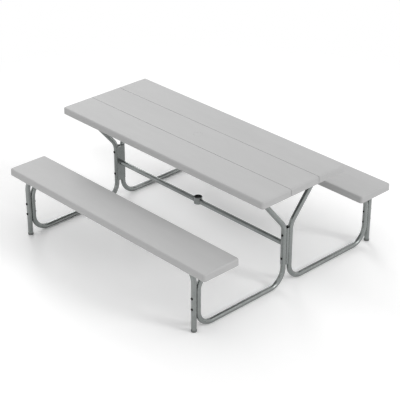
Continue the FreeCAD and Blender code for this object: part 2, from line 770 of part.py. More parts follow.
def make_stretcher(label):
    """Make the right half of the stretcher, from the ring to the joint plate."""
    body = new_body(label)
    sketch = add_sketch(body, "StretcherSection", "YZ_Plane", "Places.stretcher_start")
    circle(sketch, "0", "0", "Places.tube_radius")
    circle(sketch, "0", "0", "Places.tube_bore")
    pad(body, sketch, "Places.stretcher_end - Places.stretcher_start")
    sketch = add_sketch(body, "StretcherScrewHole", "XY_Plane")
    circle(sketch, "Places.ring_screw_x", "0", "Places.screw_hole")
    pocket(body, sketch, backward=True)
    return body


def make_spigot(label):
    """Make the right spigot, coped to the ring and slid into the stretcher."""
    body = new_body(label)
    sketch = add_sketch(body, "SpigotSection", "YZ_Plane")
    circle(sketch, "0", "0", "Places.spigot_radius")
    circle(sketch, "0", "0", "Places.spigot_radius - Sizes.spigot_wall")
    pad(body, sketch, "Places.spigot_end")
    sketch = add_sketch(body, "Cope", "XY_Plane")
    circle(sketch, "0", "0", "Sizes.ring_diameter / 2")
    pocket(body, sketch, symmetric=True)
    sketch = add_sketch(body, "SpigotScrewHole", "XY_Plane")
    circle(sketch, "Places.ring_screw_x", "0", "Places.screw_hole")
    pocket(body, sketch, backward=True)
    return body


def make_ring():
    """Make the short open tube that holds a parasol pole."""
    body = new_body("parasol_ring")
    sketch = add_sketch(body, "RingSection", "XY_Plane")
    circle(sketch, "0", "0", "Sizes.ring_diameter / 2")
    circle(sketch, "0", "0", "Places.ring_bore")
    pad(body, sketch, "Sizes.ring_height", symmetric=True)
    outer = value("Sizes.ring_diameter / 2")
    round_edges(
        body, "RingEdges", "Sizes.ring_edge",
        lambda edge: edge.BoundBox.ZLength < SMALL and edge.BoundBox.XMax > outer - SMALL,
    )
    return body


def make_middle():
    """Make both posts, the joint plates, both stretcher halves, the ring and its spigots."""
    level = "Sizes.stretcher_height"
    inside = "Places.frame_x - Places.tube_radius"
    return [
        put(make_post("spacer_post_left"), x="-Places.frame_x", z="Places.post_bottom", turn=180),
        put(make_post("spacer_post_right"), x="Places.frame_x", z="Places.post_bottom"),
        put(make_joint_plate("joint_plate_left"), x=f"-({inside})", z="Places.post_bottom", turn=180),
        put(make_joint_plate("joint_plate_right"), x=inside, z="Places.post_bottom"),
        put(make_stretcher("stretcher_left"), z=level, turn=180),
        put(make_stretcher("stretcher_right"), z=level),
        put(make_ring(), z="Places.ring_middle"),
        put(make_spigot("ring_spigot_left"), z=level, turn=180),
        put(make_spigot("ring_spigot_right"), z=level),
    ]


# Channels under the top

def make_channel(label, width, depth, thickness, bolted):
    """Make a channel across the top, open downwards, with its web at the body's origin."""
    body = new_body(label)
    sketch = add_sketch(body, "ChannelSection", "XZ_Plane")
    outline(sketch, [
        (f"-{width} / 2", "0"),
        (f"-{width} / 2", f"-{depth}"),
        (f"-{width} / 2 + {thickness}", f"-{depth}"),
        (f"-{width} / 2 + {thickness}", f"-{thickness}"),
        (f"{width} / 2 - {thickness}", f"-{thickness}"),
        (f"{width} / 2 - {thickness}", f"-{depth}"),
        (f"{width} / 2", f"-{depth}"),
        (f"{width} / 2", "0"),
    ])
    pad(body, sketch, "2 * Places.rail_half_length", symmetric=True)
    side = value(f"{width} / 2")
    round_edges(
        body, "ChannelBends", thickness,
        lambda edge: lies_at(edge, 2, 0) and (lies_at(edge, 0, side) or lies_at(edge, 0, -side)),
    )
    sketch = add_sketch(body, "ChannelScrewHoles", "XY_Plane")
    for y in CHANNEL_SCREWS:
        circle(sketch, "0", y, "Places.screw_hole")
    pocket(body, sketch)
    if bolted:
        sketch = add_sketch(body, "ChannelBoltHoles", "YZ_Plane")
        for y in ("-Places.rail_bolt_y", "Places.rail_bolt_y"):
            circle(sketch, y, "Places.rail_bolt_z - Places.top_underside", "Places.bolt_hole")
        pocket(body, sketch, symmetric=True)
    return body


def make_channels():
    """Make the two rails over the arms and the two lighter battens between them."""
    parts = []
    for end, sign in (("left", "-"), ("right", "")):
        rail = make_channel(
            f"top_rail_{end}", "Places.rail_outer", "Sizes.rail_depth", "Sizes.rail_thickness", True
        )
        parts.append(put(rail, x=f"{sign}Places.frame_x", z="Places.top_underside"))
        batten = make_channel(
            f"top_batten_{end}", "Sizes.batten_width", "Sizes.batten_depth", "Sizes.batten_thickness", False
        )
        parts.append(put(batten, x=f"{sign}Sizes.batten_offset", z="Places.top_underside"))
    return parts


# Fasteners: one of each kind is modelled and its copies are gathered in one group

def make_bolt(name, grip):
    """Make a domed bolt: the underside of its head at the origin, its shank along -Z."""
    body = new_body(name)
    sketch = add_sketch(body, "Head", "XY_Plane")
    circle(sketch, "0", "0", "Sizes.bolt_head_diameter / 2")
    pad(body, sketch, "Sizes.bolt_head_height")
    top = value("Sizes.bolt_head_height")
    round_edges(body, "Dome", "Sizes.bolt_head_rounding", lambda edge: lies_at(edge, 2, top))
    sketch = add_sketch(body, "Shank", "XY_Plane")
    circle(sketch, "0", "0", "Sizes.bolt_diameter / 2")
    pad(body, sketch, f"{grip} + Places.bolt_spare", backward=True)
    sketch = add_sketch(body, "KeySocket", "XY_Plane", "Sizes.bolt_head_height")
    hexagon(sketch, "Sizes.bolt_socket")
    pocket(body, sketch, "Sizes.bolt_socket_depth")
    return body


def make_nut(name):
    """Make a hexagon nut with chamfered corners on top, standing on the origin."""
    body = new_body(name)
    sketch = add_sketch(body, "Hexagon", "XY_Plane")
    hexagon(sketch, "Sizes.nut_width")
    pad(body, sketch, "Sizes.nut_height")
    sketch = add_sketch(body, "Thread", "XY_Plane")
    circle(sketch, "0", "0", "Sizes.bolt_diameter / 2 + Sizes.thread_clearance")
    pocket(body, sketch, backward=True)
    before = body.Shape.Volume
    sketch = add_sketch(body, "CornerChamfer", "XZ_Plane")
    outer = "(Sizes.nut_width / 2 / cos(30) + Sizes.nut_chamfer)"
    outline(sketch, [
        ("Sizes.nut_width / 2 - Sizes.nut_chamfer / 2", "Sizes.nut_height"),
        (outer, f"Sizes.nut_height - ({outer} - Sizes.nut_width / 2 + Sizes.nut_chamfer / 2) * tan(30)"),
        (outer, "Sizes.nut_height"),
    ])
    groove = body.newObject("PartDesign::Groove", "ChamferGroove")
    groove.Profile = sketch
    groove.ReferenceAxis = (sketch, ["V_Axis"])
    groove.Angle = FULL_TURN
    doc.recompute()
    if not body.Shape.Volume < before:
        raise RuntimeError("the nut's chamfer cuts nothing")
    return body


def make_screw(name, length):
    """Make a domed screw: the underside of its head at the origin, its shank along -Z."""
    body = new_body(name)
    sketch = add_sketch(body, "ScrewHead", "XY_Plane")
    circle(sketch, "0", "0", "Sizes.screw_head_diameter / 2")
    pad(body, sketch, "Sizes.screw_head_height")
    top = value("Sizes.screw_head_height")
    round_edges(body, "ScrewDome", "Sizes.screw_head_rounding", lambda edge: lies_at(edge, 2, top))
    sketch = add_sketch(body, "ScrewShank", "XY_Plane")
    circle(sketch, "0", "0", "Sizes.screw_diameter / 2")
    pad(body, sketch, length, backward=True)
    return body


def gather(label, master, spots):
    """Gather copies of one fastener, each at its place and turn, as one group."""
    copies = []
    for number, (x, y, z, (axis, turn)) in enumerate(spots, start=1):
        copy = doc.addObject("App::Link", f"{master.Name}Copy{number}")
        copy.LinkedObject = master
        copies.append(put(copy, x, y, z, turn, axis))
    group = doc.addObject("Part::Compound", f"{master.Name}Group")
    group.Label = label
    group.Links = copies
    return group


def make_fasteners():
    """Make every group of bolts, nuts and screws."""
    ends = ("-Places.frame_x", "Places.frame_x")
    column_spots = [(x, z) for x in ends for z in COLUMN_BOLT_HEIGHTS]
    leg_spots = [(x, z) for x in ends for z in LEG_BOLT_HEIGHTS]
    rail_spots = [
        (x, y) for x in ends for y in ("-Places.rail_bolt_y", "Places.rail_bolt_y")
    ]
    return [
        gather("column_bolts", make_bolt("column_bolt", "Places.column_grip"), [
            (x, "-Places.column_face", z, HEAD_FRONT) for x, z in column_spots
        ]),
        gather("column_nuts", make_nut("column_nut"), [
            (x, "Places.column_face", z, HEAD_BACK) for x, z in column_spots
        ]),
        gather("leg_bolts", make_bolt("leg_bolt", "Places.leg_grip"), [
            spot for x, z in leg_spots
            for spot in ((x, "-Places.leg_face", z, HEAD_FRONT), (x, "Places.leg_face", z, HEAD_BACK))
        ]),
        gather("leg_nuts", make_nut("leg_nut"), [
            spot for x, z in leg_spots
            for spot in ((x, "-Places.loop_face", z, HEAD_BACK), (x, "Places.loop_face", z, HEAD_FRONT))
        ]),
        gather("rail_bolts", make_bolt("rail_bolt", "Places.rail_outer"), [
            (f"{x} + Places.rail_outer / 2", y, "Places.rail_bolt_z", HEAD_RIGHT) for x, y in rail_spots
        ]),
        gather("rail_nuts", make_nut("rail_nut"), [
            (f"{x} - Places.rail_outer / 2", y, "Places.rail_bolt_z", HEAD_LEFT) for x, y in rail_spots
        ]),
        gather("rail_screws", make_screw("rail_screw", "Sizes.screw_length"), [
            (x, y, "Places.rail_underside", HEAD_DOWN) for x in ends for y in CHANNEL_SCREWS
        ]),
        gather("batten_screws", make_screw("batten_screw", "Sizes.screw_length"), [
            (x, y, "Places.top_underside - Sizes.batten_thickness", HEAD_DOWN)
            for x in ("-Sizes.batten_offset", "Sizes.batten_offset") for y in CHANNEL_SCREWS
        ]),
        gather("seat_screws", make_screw("seat_screw", "Sizes.screw_length"), [
            (x, f"{sign}{y}", "Places.bracket_underside", HEAD_DOWN)
            for x in ends for sign in ("-", "") for y in BRACKET_SCREWS
        ]),
        gather("ring_screws", make_screw("ring_screw", "Sizes.ring_screw_length"), [
            (x, "0", "Sizes.stretcher_height + Places.tube_radius", HEAD_UP)
            for x in ("-Places.ring_screw_x", "Places.ring_screw_x")
        ]),
    ]


def make_cap():
    """Make the lift-out cap of the parasol hole: a disc with a skirt under it."""
    body = new_body("parasol_hole_cap")
    sketch = add_sketch(body, "Disc", "XY_Plane")
    circle(sketch, "0", "0", "Sizes.cap_diameter / 2")
    pad(body, sketch, "Sizes.cap_thickness")
    top = value("Sizes.cap_thickness")
    round_edges(body, "DiscEdge", "Sizes.cap_edge", lambda edge: lies_at(edge, 2, top))
    sketch = add_sketch(body, "Skirt", "XY_Plane")
    circle(sketch, "0", "0", "Places.cap_skirt_radius")
    circle(sketch, "0", "0", "Places.cap_skirt_radius - Sizes.cap_skirt_wall")
    pad(body, sketch, "Sizes.cap_skirt_depth", backward=True)
    return put(body, z="Sizes.top_height - Sizes.cap_thickness")


def write(parts):
    """Check every object and every shape, then write one file for each part."""
    doc.recompute()
    for thing in doc.Objects:
        if {"Invalid", "Error"} & set(thing.State):
            raise RuntimeError(f"{thing.Label} is {thing.State}")
    for part in parts:
        if part.Shape.isNull() or not part.Shape.isValid() or not part.Shape.Solids:
            raise RuntimeError(f"{part.Label} has no good shape")
    os.makedirs("parts", exist_ok=True)
    for part in parts:
        part.Shape.exportStep(f"parts/{part.Label}.step")
        print(part.Label, len(part.Shape.Solids), round(part.Shape.Volume))


write(make_top() + make_seats() + make_quadrants() + make_middle() + make_channels() + make_fasteners()
      + [make_cap()])
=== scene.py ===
"""Looks of a picnic table with two attached benches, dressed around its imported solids.

The right end is +X, the back bench is at +Y and the floor is at Z = 0. Lengths are in metres and
angles in degrees.
"""

from __future__ import annotations

import json
import logging
import math
from collections.abc import Callable, Iterable
from dataclasses import dataclass
from enum import Enum

import bpy
from mathutils import Matrix, Vector

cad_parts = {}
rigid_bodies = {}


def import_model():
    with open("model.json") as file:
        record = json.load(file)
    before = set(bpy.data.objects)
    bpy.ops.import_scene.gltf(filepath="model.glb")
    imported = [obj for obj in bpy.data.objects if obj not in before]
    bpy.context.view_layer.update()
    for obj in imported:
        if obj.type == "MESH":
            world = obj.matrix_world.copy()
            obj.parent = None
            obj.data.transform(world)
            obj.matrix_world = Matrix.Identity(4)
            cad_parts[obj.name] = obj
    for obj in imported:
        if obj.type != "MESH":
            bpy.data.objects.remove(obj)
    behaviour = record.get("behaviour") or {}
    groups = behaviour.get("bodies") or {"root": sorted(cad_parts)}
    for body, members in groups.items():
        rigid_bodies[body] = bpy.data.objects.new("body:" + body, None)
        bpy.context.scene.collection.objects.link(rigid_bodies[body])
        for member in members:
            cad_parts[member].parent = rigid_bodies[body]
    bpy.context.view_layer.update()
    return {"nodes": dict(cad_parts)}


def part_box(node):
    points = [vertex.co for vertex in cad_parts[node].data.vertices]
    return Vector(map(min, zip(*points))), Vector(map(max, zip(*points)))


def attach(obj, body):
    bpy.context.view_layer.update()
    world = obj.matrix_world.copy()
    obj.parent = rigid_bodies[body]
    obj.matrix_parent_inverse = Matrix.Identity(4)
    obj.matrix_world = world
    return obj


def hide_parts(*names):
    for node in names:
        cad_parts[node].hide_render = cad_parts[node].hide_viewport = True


LOG = logging.getLogger("picnic_table")

Colour = tuple[float, float, float, float]
Point = tuple[float, float, float]
Pair = tuple[float, float]
Ring = tuple[float, float]

BODY = "table"
SIGNS = (-1, 1)
ARC_STEP = 15


def grey(level: float, blue: float = 0.0) -> Colour:
    """Give a grey, a little cooler or warmer by the second value."""
    return (level - blue, level, level + blue / 2, 1.0)


class Corner(Enum):
    """The four corners of the set, each with the ending of its pieces' names."""

    FRONT_LEFT = "front_left"
    FRONT_RIGHT = "front_right"
    BACK_LEFT = "back_left"
    BACK_RIGHT = "back_right"


class End(Enum):
    """The two ends of the set, each with its sign along X."""

    LEFT = -1
    RIGHT = 1

    @property
    def suffix(self) -> str:
        """Give the ending that this end's pieces have in their names."""
        return self.name.lower()


# Node sheets and shared effects


def blank_tree(owner: bpy.types.Material | bpy.types.World) -> bpy.types.NodeTree:
    """Turn on the nodes of a material or a world and clear them.

    Args:
        owner: The material or the world.

    Returns:
        Its empty node tree.
    """
    owner.use_nodes = True
    owner.node_tree.nodes.clear()
    return owner.node_tree


class NodeSheet:
    """One node tree, with short calls that add nodes and join them."""

    def __init__(self, tree: bpy.types.NodeTree) -> None:
        """Keep the tree that the calls work on."""
        self.tree = tree

    def add(self, kind: str, **settings: object) -> bpy.types.Node:
        """Add a node and set its properties.

        Args:
            kind: The node's type.
            settings: Property names and what they are set to.

        Returns:
            The node.
        """
        node = self.tree.nodes.new(kind)
        for name, setting in settings.items():
            setattr(node, name, setting)
        return node

    def feed(self, socket: bpy.types.NodeSocket, source: object) -> None:
        """Link a socket to another one, or set its value.

        Args:
            socket: The input to feed.
            source: The output that feeds it, or a plain value.
        """
        if isinstance(source, bpy.types.NodeSocket):
            self.tree.links.new(source, socket)
        else:
            socket.default_value = source

    def fill(self, node: bpy.types.Node, **sources: object) -> bpy.types.Node:
        """Feed several of a node's inputs by name.

        Args:
            node: The node.
            sources: What feeds each input, with spaces in its name written as underscores.

        Returns:
            The node.
        """
        for name, source in sources.items():
            self.feed(node.inputs[name.replace("_", " ")], source)
        return node

    def sum(self, operation: str, *sources: object) -> bpy.types.NodeSocket:
        """Work out a sum of one or more values.

        Args:
            operation: The Math node's operation.
            sources: The values or the outputs that give them.

        Returns:
            The result's socket.
        """
        node = self.add("ShaderNodeMath", operation=operation)
        for socket, source in zip(node.inputs, sources):
            self.feed(socket, source)
        return node.outputs[0]

    def times(self, first: object, second: object) -> bpy.types.NodeSocket:
        """Multiply two values."""
        return self.sum("MULTIPLY", first, second)

    def shift(self, base: object, mask: object, amount: float) -> bpy.types.NodeSocket:
        """Raise a value by an amount where a mask says, or lower it by a negative one."""
        return self.sum("ADD", base, self.times(mask, amount))

    def weigh(self, share: float, first: object, second: object) -> bpy.types.NodeSocket:
        """Add two values, the first by its share and the second by the rest."""
        return self.sum("ADD", self.times(first, share), self.times(second, 1 - share))

    def vector(self, operation: str, *sources: object) -> bpy.types.NodeSocket:
        """Work out a sum of vectors.

        Args:
            operation: The Vector Math node's operation.
            sources: The vectors or the outputs that give them.

        Returns:
            The result's socket.
        """
        node = self.add("ShaderNodeVectorMath", operation=operation)
        for socket, source in zip(node.inputs, sources):
            self.feed(socket, source)
        return node.outputs["Vector"]

    def split(self, source: bpy.types.NodeSocket) -> list[bpy.types.NodeSocket]:
        """Take a vector apart.

        Args:
            source: The vector's output.

        Returns:
            The sockets of its X, Y and Z.
        """
        node = self.add("ShaderNodeSeparateXYZ")
        self.feed(node.inputs[0], source)
        return list(node.outputs)

    def span(
        self, source: object, low: object, high: object, start: object = 0.0, end: object = 1.0
    ) -> bpy.types.NodeSocket:
        """Ease a value from one range into another.

        Args:
            source: The value.
            low: Where it gives the start.
            high: Where it gives the end.
            start: The result at low.
            end: The result at high.

        Returns:
            The result's socket.
        """
        node = self.add("ShaderNodeMapRange", interpolation_type="SMOOTHSTEP")
        self.fill(node, Value=source, From_Min=low, From_Max=high, To_Min=start, To_Max=end)
        return node.outputs["Result"]

    def mix(self, share: object, first: object, second: object) -> bpy.types.NodeSocket:
        """Mix two colours.

        Args:
            share: How much of the second colour the result has.
            first: The first colour.
            second: The second colour.

        Returns:
            The result's socket.
        """
        node = self.add("ShaderNodeMix", data_type="RGBA")
        colours = [socket for socket in node.inputs if socket.type == "RGBA"]
        for socket, source in zip((node.inputs[0], *colours), (share, first, second)):
            self.feed(socket, source)
        return next(socket for socket in node.outputs if socket.type == "RGBA")

    def over(self, under: object, top: object, mask: object, share: float) -> bpy.types.NodeSocket:
        """Lay a colour over another one where a mask says, as strongly as a share."""
        return self.mix(self.times(mask, share), under, top)

    def noise(
        self, place: object, size: object, detail: float = 2.0, rough: float = 0.5
    ) -> bpy.types.NodeSocket:
        """Add a cloudy pattern.

        Args:
            place: The coordinates it follows.
            size: About how far across its patches are.
            detail: How many finer layers it has.
            rough: How strong each finer layer is.

        Returns:
            The pattern's socket, around 0.5.
        """
        node = self.add("ShaderNodeTexNoise")
        scale = self.sum("DIVIDE", 1.0, size)
        self.fill(node, Vector=place, Scale=scale, Detail=detail, Roughness=rough)
        return node.outputs["Fac"]

    def cells(self, place: object, size: object, feature: str = "F1") -> bpy.types.Node:
        """Add a pattern of cells.

        Args:
            place: The coordinates it follows.
            size: About how far across its cells are.
            feature: What it gives of each cell.

        Returns:
            The pattern's node.
        """
        node = self.add("ShaderNodeTexVoronoi", feature=feature)
        scale = self.sum("DIVIDE", 1.0, size)
        return self.fill(node, Vector=place, Scale=scale)


class MaterialSheet(NodeSheet):
    """The nodes of one new material: a Principled shader and the object's coordinates to start with."""

    def __init__(self, name: str) -> None:
        """Start the material.

        Args:
            name: The material's name.
        """
        self.material = bpy.data.materials.new(name)
        super().__init__(blank_tree(self.material))
        self.shader = self.add("ShaderNodeBsdfPrincipled")
        self.fill(self.add("ShaderNodeOutputMaterial"), Surface=self.shader.outputs[0])
        self.place = self.add("ShaderNodeTexCoord").outputs["Object"]


class Effect(NodeSheet):
    """A shader effect that several materials share, kept as one node group.

    Every effect is given a place. It gives a mask unless its class names other outputs.
    """

    name = ""
    inputs: dict[str, str] = {}
    outputs: dict[str, str] = {"Mask": "Float"}

    def __init__(self, tree: bpy.types.NodeTree) -> None:
        """Open the effect's node group.

        Args:
            tree: The group, with its sockets in place.
        """
        super().__init__(tree)
        self.given = self.add("NodeGroupInput").outputs
        self.made = self.add("NodeGroupOutput").inputs

    def lay(self) -> None:
        """Lay the nodes between the group's inputs and its outputs."""
        raise NotImplementedError

    def away(self) -> bpy.types.NodeSocket:
        """Work out how far each place is from the given centre, along each axis."""
        return self.vector("ABSOLUTE", self.vector("SUBTRACT", self.given["Place"], self.given["Centre"]))

    @classmethod
    def group(cls) -> bpy.types.NodeTree:
        """Build the effect's node group the first time.

        Returns:
            The node group.
        """
        found = bpy.data.node_groups.get(cls.name)
        if found:
            return found
        tree = bpy.data.node_groups.new(cls.name, "ShaderNodeTree")
        inputs = {"Place": "Vector", **cls.inputs}
        for way, sockets in (("INPUT", inputs), ("OUTPUT", cls.outputs)):
            for label, kind in sockets.items():
                tree.interface.new_socket(label, in_out=way, socket_type=f"NodeSocket{kind}")
        cls(tree).lay()
        return tree

    @classmethod
    def use(cls, sheet: MaterialSheet, **values: object) -> bpy.types.NodeOutputs:
        """Place the effect in a material.

        Args:
            sheet: The material's nodes, which give the effect its coordinates.
            values: What feeds each other input, with spaces in its name written as underscores.

        Returns:
            The group's outputs.
        """
        node = sheet.add("ShaderNodeGroup", node_tree=cls.group())
        return sheet.fill(node, Place=sheet.place, **values).outputs


class ColourDrift(Effect):
    """Slow patches between two tones, which can be drawn out along an axis."""

    name = "Colour drift"
    inputs = {"Light": "Color", "Dark": "Color", "Patch": "Float", "Draw": "Vector"}
    outputs = {"Colour": "Color"}
    small_patch_share = 0.17
    broad_share = 0.6
    tone_range = (0.32, 0.68)

    def lay(self) -> None:
        """Lay two sizes of patches and mix the tones by them."""
        drawn = self.vector("MULTIPLY", self.given["Place"], self.given["Draw"])
        broad = self.noise(drawn, self.given["Patch"])
        small_size = self.times(self.given["Patch"], self.small_patch_share)
        both = self.weigh(self.broad_share, broad, self.noise(drawn, small_size, detail=4.0, rough=0.6))
        tone = self.span(both, *self.tone_range)
        self.feed(self.made["Colour"], self.mix(tone, self.given["Dark"], self.given["Light"]))


class SurfaceGrain(Effect):
    """A fine pebbled surface, as a mould or a powder coat leaves it."""

    name = "Surface grain"
    inputs = {"Size": "Float", "Softness": "Float"}
    outputs = {"Height": "Float", "Pits": "Float"}
    cloud_size_share = 0.6
    pebble_share = 0.6
    pit_range = (0.5, 0.32)

    def lay(self) -> None:
        """Lay pebbles over a finer cloud and find the pits between them."""
        place, size = self.given["Place"], self.given["Size"]
        pebbles = self.fill(self.cells(place, size, "SMOOTH_F1"), Smoothness=self.given["Softness"])
        cloud = self.noise(place, self.times(size, self.cloud_size_share), detail=3.0, rough=0.6)
        bumps = self.sum("SUBTRACT", 1.0, pebbles.outputs["Distance"])
        height = self.weigh(self.pebble_share, bumps, cloud)
        self.feed(self.made["Height"], height)
        self.feed(self.made["Pits"], self.span(height, *self.pit_range))


class Scuffs(Effect):
    """Thin broken marks from handling."""

    name = "Scuffs"
    inputs = {"Size": "Float", "Cover": "Float"}
    draw = (0.35, 1.0, 1.0)
    patch_scale = 9.0
    bare_level = 0.78
    cover_drop = 0.3
    edge_blur = 0.06
    patch_range = (0.42, 0.62)

    def lay(self) -> None:
        """Lay drawn-out flecks, broken up by larger patches."""
        place, size = self.given["Place"], self.given["Size"]
        flecks = self.noise(self.vector("MULTIPLY", place, self.draw), size, detail=8.0, rough=0.72)
        patches = self.span(self.noise(place, self.times(size, self.patch_scale)), *self.patch_range)
        edge = self.shift(self.bare_level, self.given["Cover"], -self.cover_drop)
        mask = self.span(flecks, edge, self.sum("ADD", edge, self.edge_blur))
        self.feed(self.made["Mask"], self.times(mask, patches))


class FloorDust(Effect):
    """Dust and rubbing that fade upwards from the floor."""

    name = "Floor dust"
    inputs = {"Reach": "Float"}
    cloud_size = 0.012
    cloud_range = (0.35, 0.65)

    def lay(self) -> None:
        """Fade by height and break the edge up."""
        fade = self.span(self.split(self.given["Place"])[2], self.given["Reach"], 0.0)
        cloud = self.noise(self.given["Place"], self.cloud_size, detail=5.0, rough=0.65)
        self.feed(self.made["Mask"], self.times(fade, self.span(cloud, *self.cloud_range)))


class BlockEdges(Effect):
    """The edges of a block, found from its centre and its half sizes."""

    name = "Block edges"
    inputs = {"Centre": "Vector", "Half": "Vector", "Width": "Float"}
    wear_size = 0.03
    wear_range = (0.25, 0.6)

    def lay(self) -> None:
        """Take the second smallest of the distances to the block's sides."""
        x, y, z = self.split(self.vector("SUBTRACT", self.given["Half"], self.away()))
        near = self.sum("MINIMUM", x, y)
        far = self.sum("MAXIMUM", x, y)
        second = self.sum("MAXIMUM", near, self.sum("MINIMUM", far, z))
        worn = self.noise(self.given["Place"], self.wear_size, detail=5.0, rough=0.6)
        edge = self.span(second, self.given["Width"], 0.0)
        self.feed(self.made["Mask"], self.times(edge, self.span(worn, *self.wear_range)))


class ShadedBore(Effect):
    """The inside of an upright open tube, round or rectangular, where painted shade goes."""

    name = "Painted bore shade"
    inputs = {"Centre": "Vector", "Half": "Vector", "Square": "Float"}
    edge_range = (1.03, 1.01)

    def lay(self) -> None:
        """Mark what lies within the bore's half sizes around its middle."""
        x, y, _ = self.split(self.vector("DIVIDE", self.away(), self.given["Half"]))
        square = self.sum("MAXIMUM", x, y)
        circle = self.sum("SQRT", self.sum("ADD", self.times(x, x), self.times(y, y)))
        bend = self.times(self.sum("SUBTRACT", square, circle), self.given["Square"])
        self.feed(self.made["Mask"], self.span(self.sum("ADD", circle, bend), *self.edge_range))


# Finishes


@dataclass(frozen=True)
class Finish:
    """What every finish has: two tones that drift, a grain, scuffs and a roughness."""

    name: str
    light: Colour
    dark: Colour
    patch: float
    grain: float
    grain_depth: float
    draw: Point = (1.0, 1.0, 1.0)
    grain_softness: float = 0.6
    grain_show: float = 0.4
    scuff: float = 0.007
    scuff_cover: float = 0.3
    scuff_share: float = 0.5
    rough: float = 0.5

    def lay(self, sheet: MaterialSheet) -> None:
        """Lay the finish's nodes in a material."""
        raise NotImplementedError

    def make(self) -> bpy.types.Material:
        """Make the material.

        Returns:
            The material.
        """
        sheet = MaterialSheet(self.name)
        self.lay(sheet)
        return sheet.material

    def lay_tones(self, sheet: MaterialSheet) -> bpy.types.NodeSocket:
        """Drift between the two tones.

        Args:
            sheet: The material's nodes.

        Returns:
            The colour's socket.
        """
        tones = ColourDrift.use(sheet, Light=self.light, Dark=self.dark, Patch=self.patch, Draw=self.draw)
        return tones["Colour"]

    def lay_grain(self, sheet: MaterialSheet) -> bpy.types.NodeOutputs:
        """Lay the grain, which gives its height and its pits."""
        return SurfaceGrain.use(sheet, Size=self.grain, Softness=self.grain_softness)

    def lay_scuffs(self, sheet: MaterialSheet) -> bpy.types.NodeSocket:
        """Lay the mask of the scuffs."""
        return Scuffs.use(sheet, Size=self.scuff, Cover=self.scuff_cover)["Mask"]

    def close(
        self, sheet: MaterialSheet, colour: object, rough: object, height: object, **others: object
    ) -> None:
        """Feed the shader and raise the surface by a pattern.

        Args:
            sheet: The material's nodes.
            colour: What feeds the base colour.
            rough: What feeds the roughness.
            height: The pattern that raises the surface.
            others: What feeds the shader's other inputs.
        """
        bump = sheet.add("ShaderNodeBump")
        sheet.fill(bump, Height=height, Distance=self.grain_depth, Strength=self.grain_show)
        sheet.fill(sheet.shader, Base_Color=colour, Roughness=rough, Normal=bump.outputs[0], **others)


@dataclass(frozen=True, kw_only=True)
class MouldedResin(Finish):
    """Light grey moulded resin with a fine pebbled grain, painted shade in its pits and softly rubbed
    edges, for one plank.
    """

    node: str
    light: Colour = grey(0.498)
    dark: Colour = grey(0.474)
    rubbed: Colour = grey(0.535)
    # Colour of the scuffs, and of the painted shade in the grain's pits.
    scuff_and_pit_shade: Colour = grey(0.42)
    patch: float = 0.19
    draw: Point = (0.22, 1.0, 1.0)
    grain: float = 0.0011
    grain_depth: float = 0.00012
    grain_show: float = 0.35
    pit_shade_share: float = 0.12
    pit_rough: float = 0.08
    scuff: float = 0.02
    scuff_cover: float = 0.16
    scuff_share: float = 0.3
    edge_width: float = 0.011
    edge_share: float = 0.3
    edge_gloss: float = 0.08
    index: float = 1.46
    specular: float = 0.4

    def lay(self, sheet: MaterialSheet) -> None:
        """Lay the resin's nodes, with the edges where the plank's CAD node has them.

        Args:
            sheet: The material's nodes.
        """
        low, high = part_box(self.node)
        grain = self.lay_grain(sheet)
        edges = BlockEdges.use(sheet, Centre=(low + high) / 2, Half=(high - low) / 2, Width=self.edge_width)
        colour = sheet.over(self.lay_tones(sheet), self.rubbed, edges["Mask"], self.edge_share)
        colour = sheet.over(colour, self.scuff_and_pit_shade, self.lay_scuffs(sheet), self.scuff_share)
        # Painted shade: the grain's pits are darkened.
        colour = sheet.over(colour, self.scuff_and_pit_shade, grain["Pits"], self.pit_shade_share)
        rough = sheet.shift(self.rough, grain["Pits"], self.pit_rough)
        rough = sheet.shift(rough, edges["Mask"], -self.edge_gloss)
        others = {"IOR": self.index, "Specular_IOR_Level": self.specular}
        self.close(sheet, colour, rough, grain["Height"], **others)


@dataclass(frozen=True)
class PowderCoat(Finish):
    """Metallic grey powder coat with orange peel, a few scuffs and dust near the floor."""

    light: Colour = (0.278, 0.294, 0.289, 1.0)
    dark: Colour = (0.240, 0.256, 0.251, 1.0)
    patch: float = 0.11
    grain: float = 0.0016
    grain_depth: float = 0.00016
    grain_softness: float = 1.0
    rough: float = 0.25
    scuffed: Colour = (0.37, 0.385, 0.38, 1.0)
    dusty: Colour = (0.34, 0.34, 0.325, 1.0)
    pit_rough: float = 0.07
    dust_reach: float = 0.03
    dust_share: float = 0.45
    dust_rough: float = 0.3
    metallic: float = 0.88

    def lay(self, sheet: MaterialSheet) -> None:
        """Lay the coat's nodes.

        Args:
            sheet: The material's nodes.
        """
        peel = self.lay_grain(sheet)
        dust = FloorDust.use(sheet, Reach=self.dust_reach)["Mask"]
        colour = sheet.over(self.lay_tones(sheet), self.scuffed, self.lay_scuffs(sheet), self.scuff_share)
        colour = sheet.over(colour, self.dusty, dust, self.dust_share)
        rough = sheet.shift(self.rough, peel["Pits"], self.pit_rough)
        rough = sheet.shift(rough, dust, self.dust_rough)
        self.close(sheet, colour, rough, peel["Height"], Metallic=self.metallic)


@dataclass(frozen=True, kw_only=True)
class OpenTubeCoat(PowderCoat):
    """Powder coat on an upright open tube, with painted shade darkening its inside."""

    node: str
    # Painted shade: the near-black colour of the tube's inside.
    bore_shade: Colour = grey(0.012)
    wall: float
    square: float = 0.0

    def lay(self, sheet: MaterialSheet) -> None:
        """Lay the coat's nodes and paint shade into the bore, whose place the tube's CAD node gives.

        Args:
            sheet: The material's nodes.
        """
        low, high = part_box(self.node)
        half = (high - low) / 2 - Vector((self.wall, self.wall, 0.0))
        super().lay(sheet)
        bore = ShadedBore.use(sheet, Centre=(low + high) / 2, Half=half, Square=self.square)
        colour = sheet.shader.inputs["Base Color"].links[0].from_socket
        # Painted shade: the bore is darkened towards the shade colour.
        sheet.fill(sheet.shader, Base_Color=sheet.mix(bore["Mask"], colour, self.bore_shade))


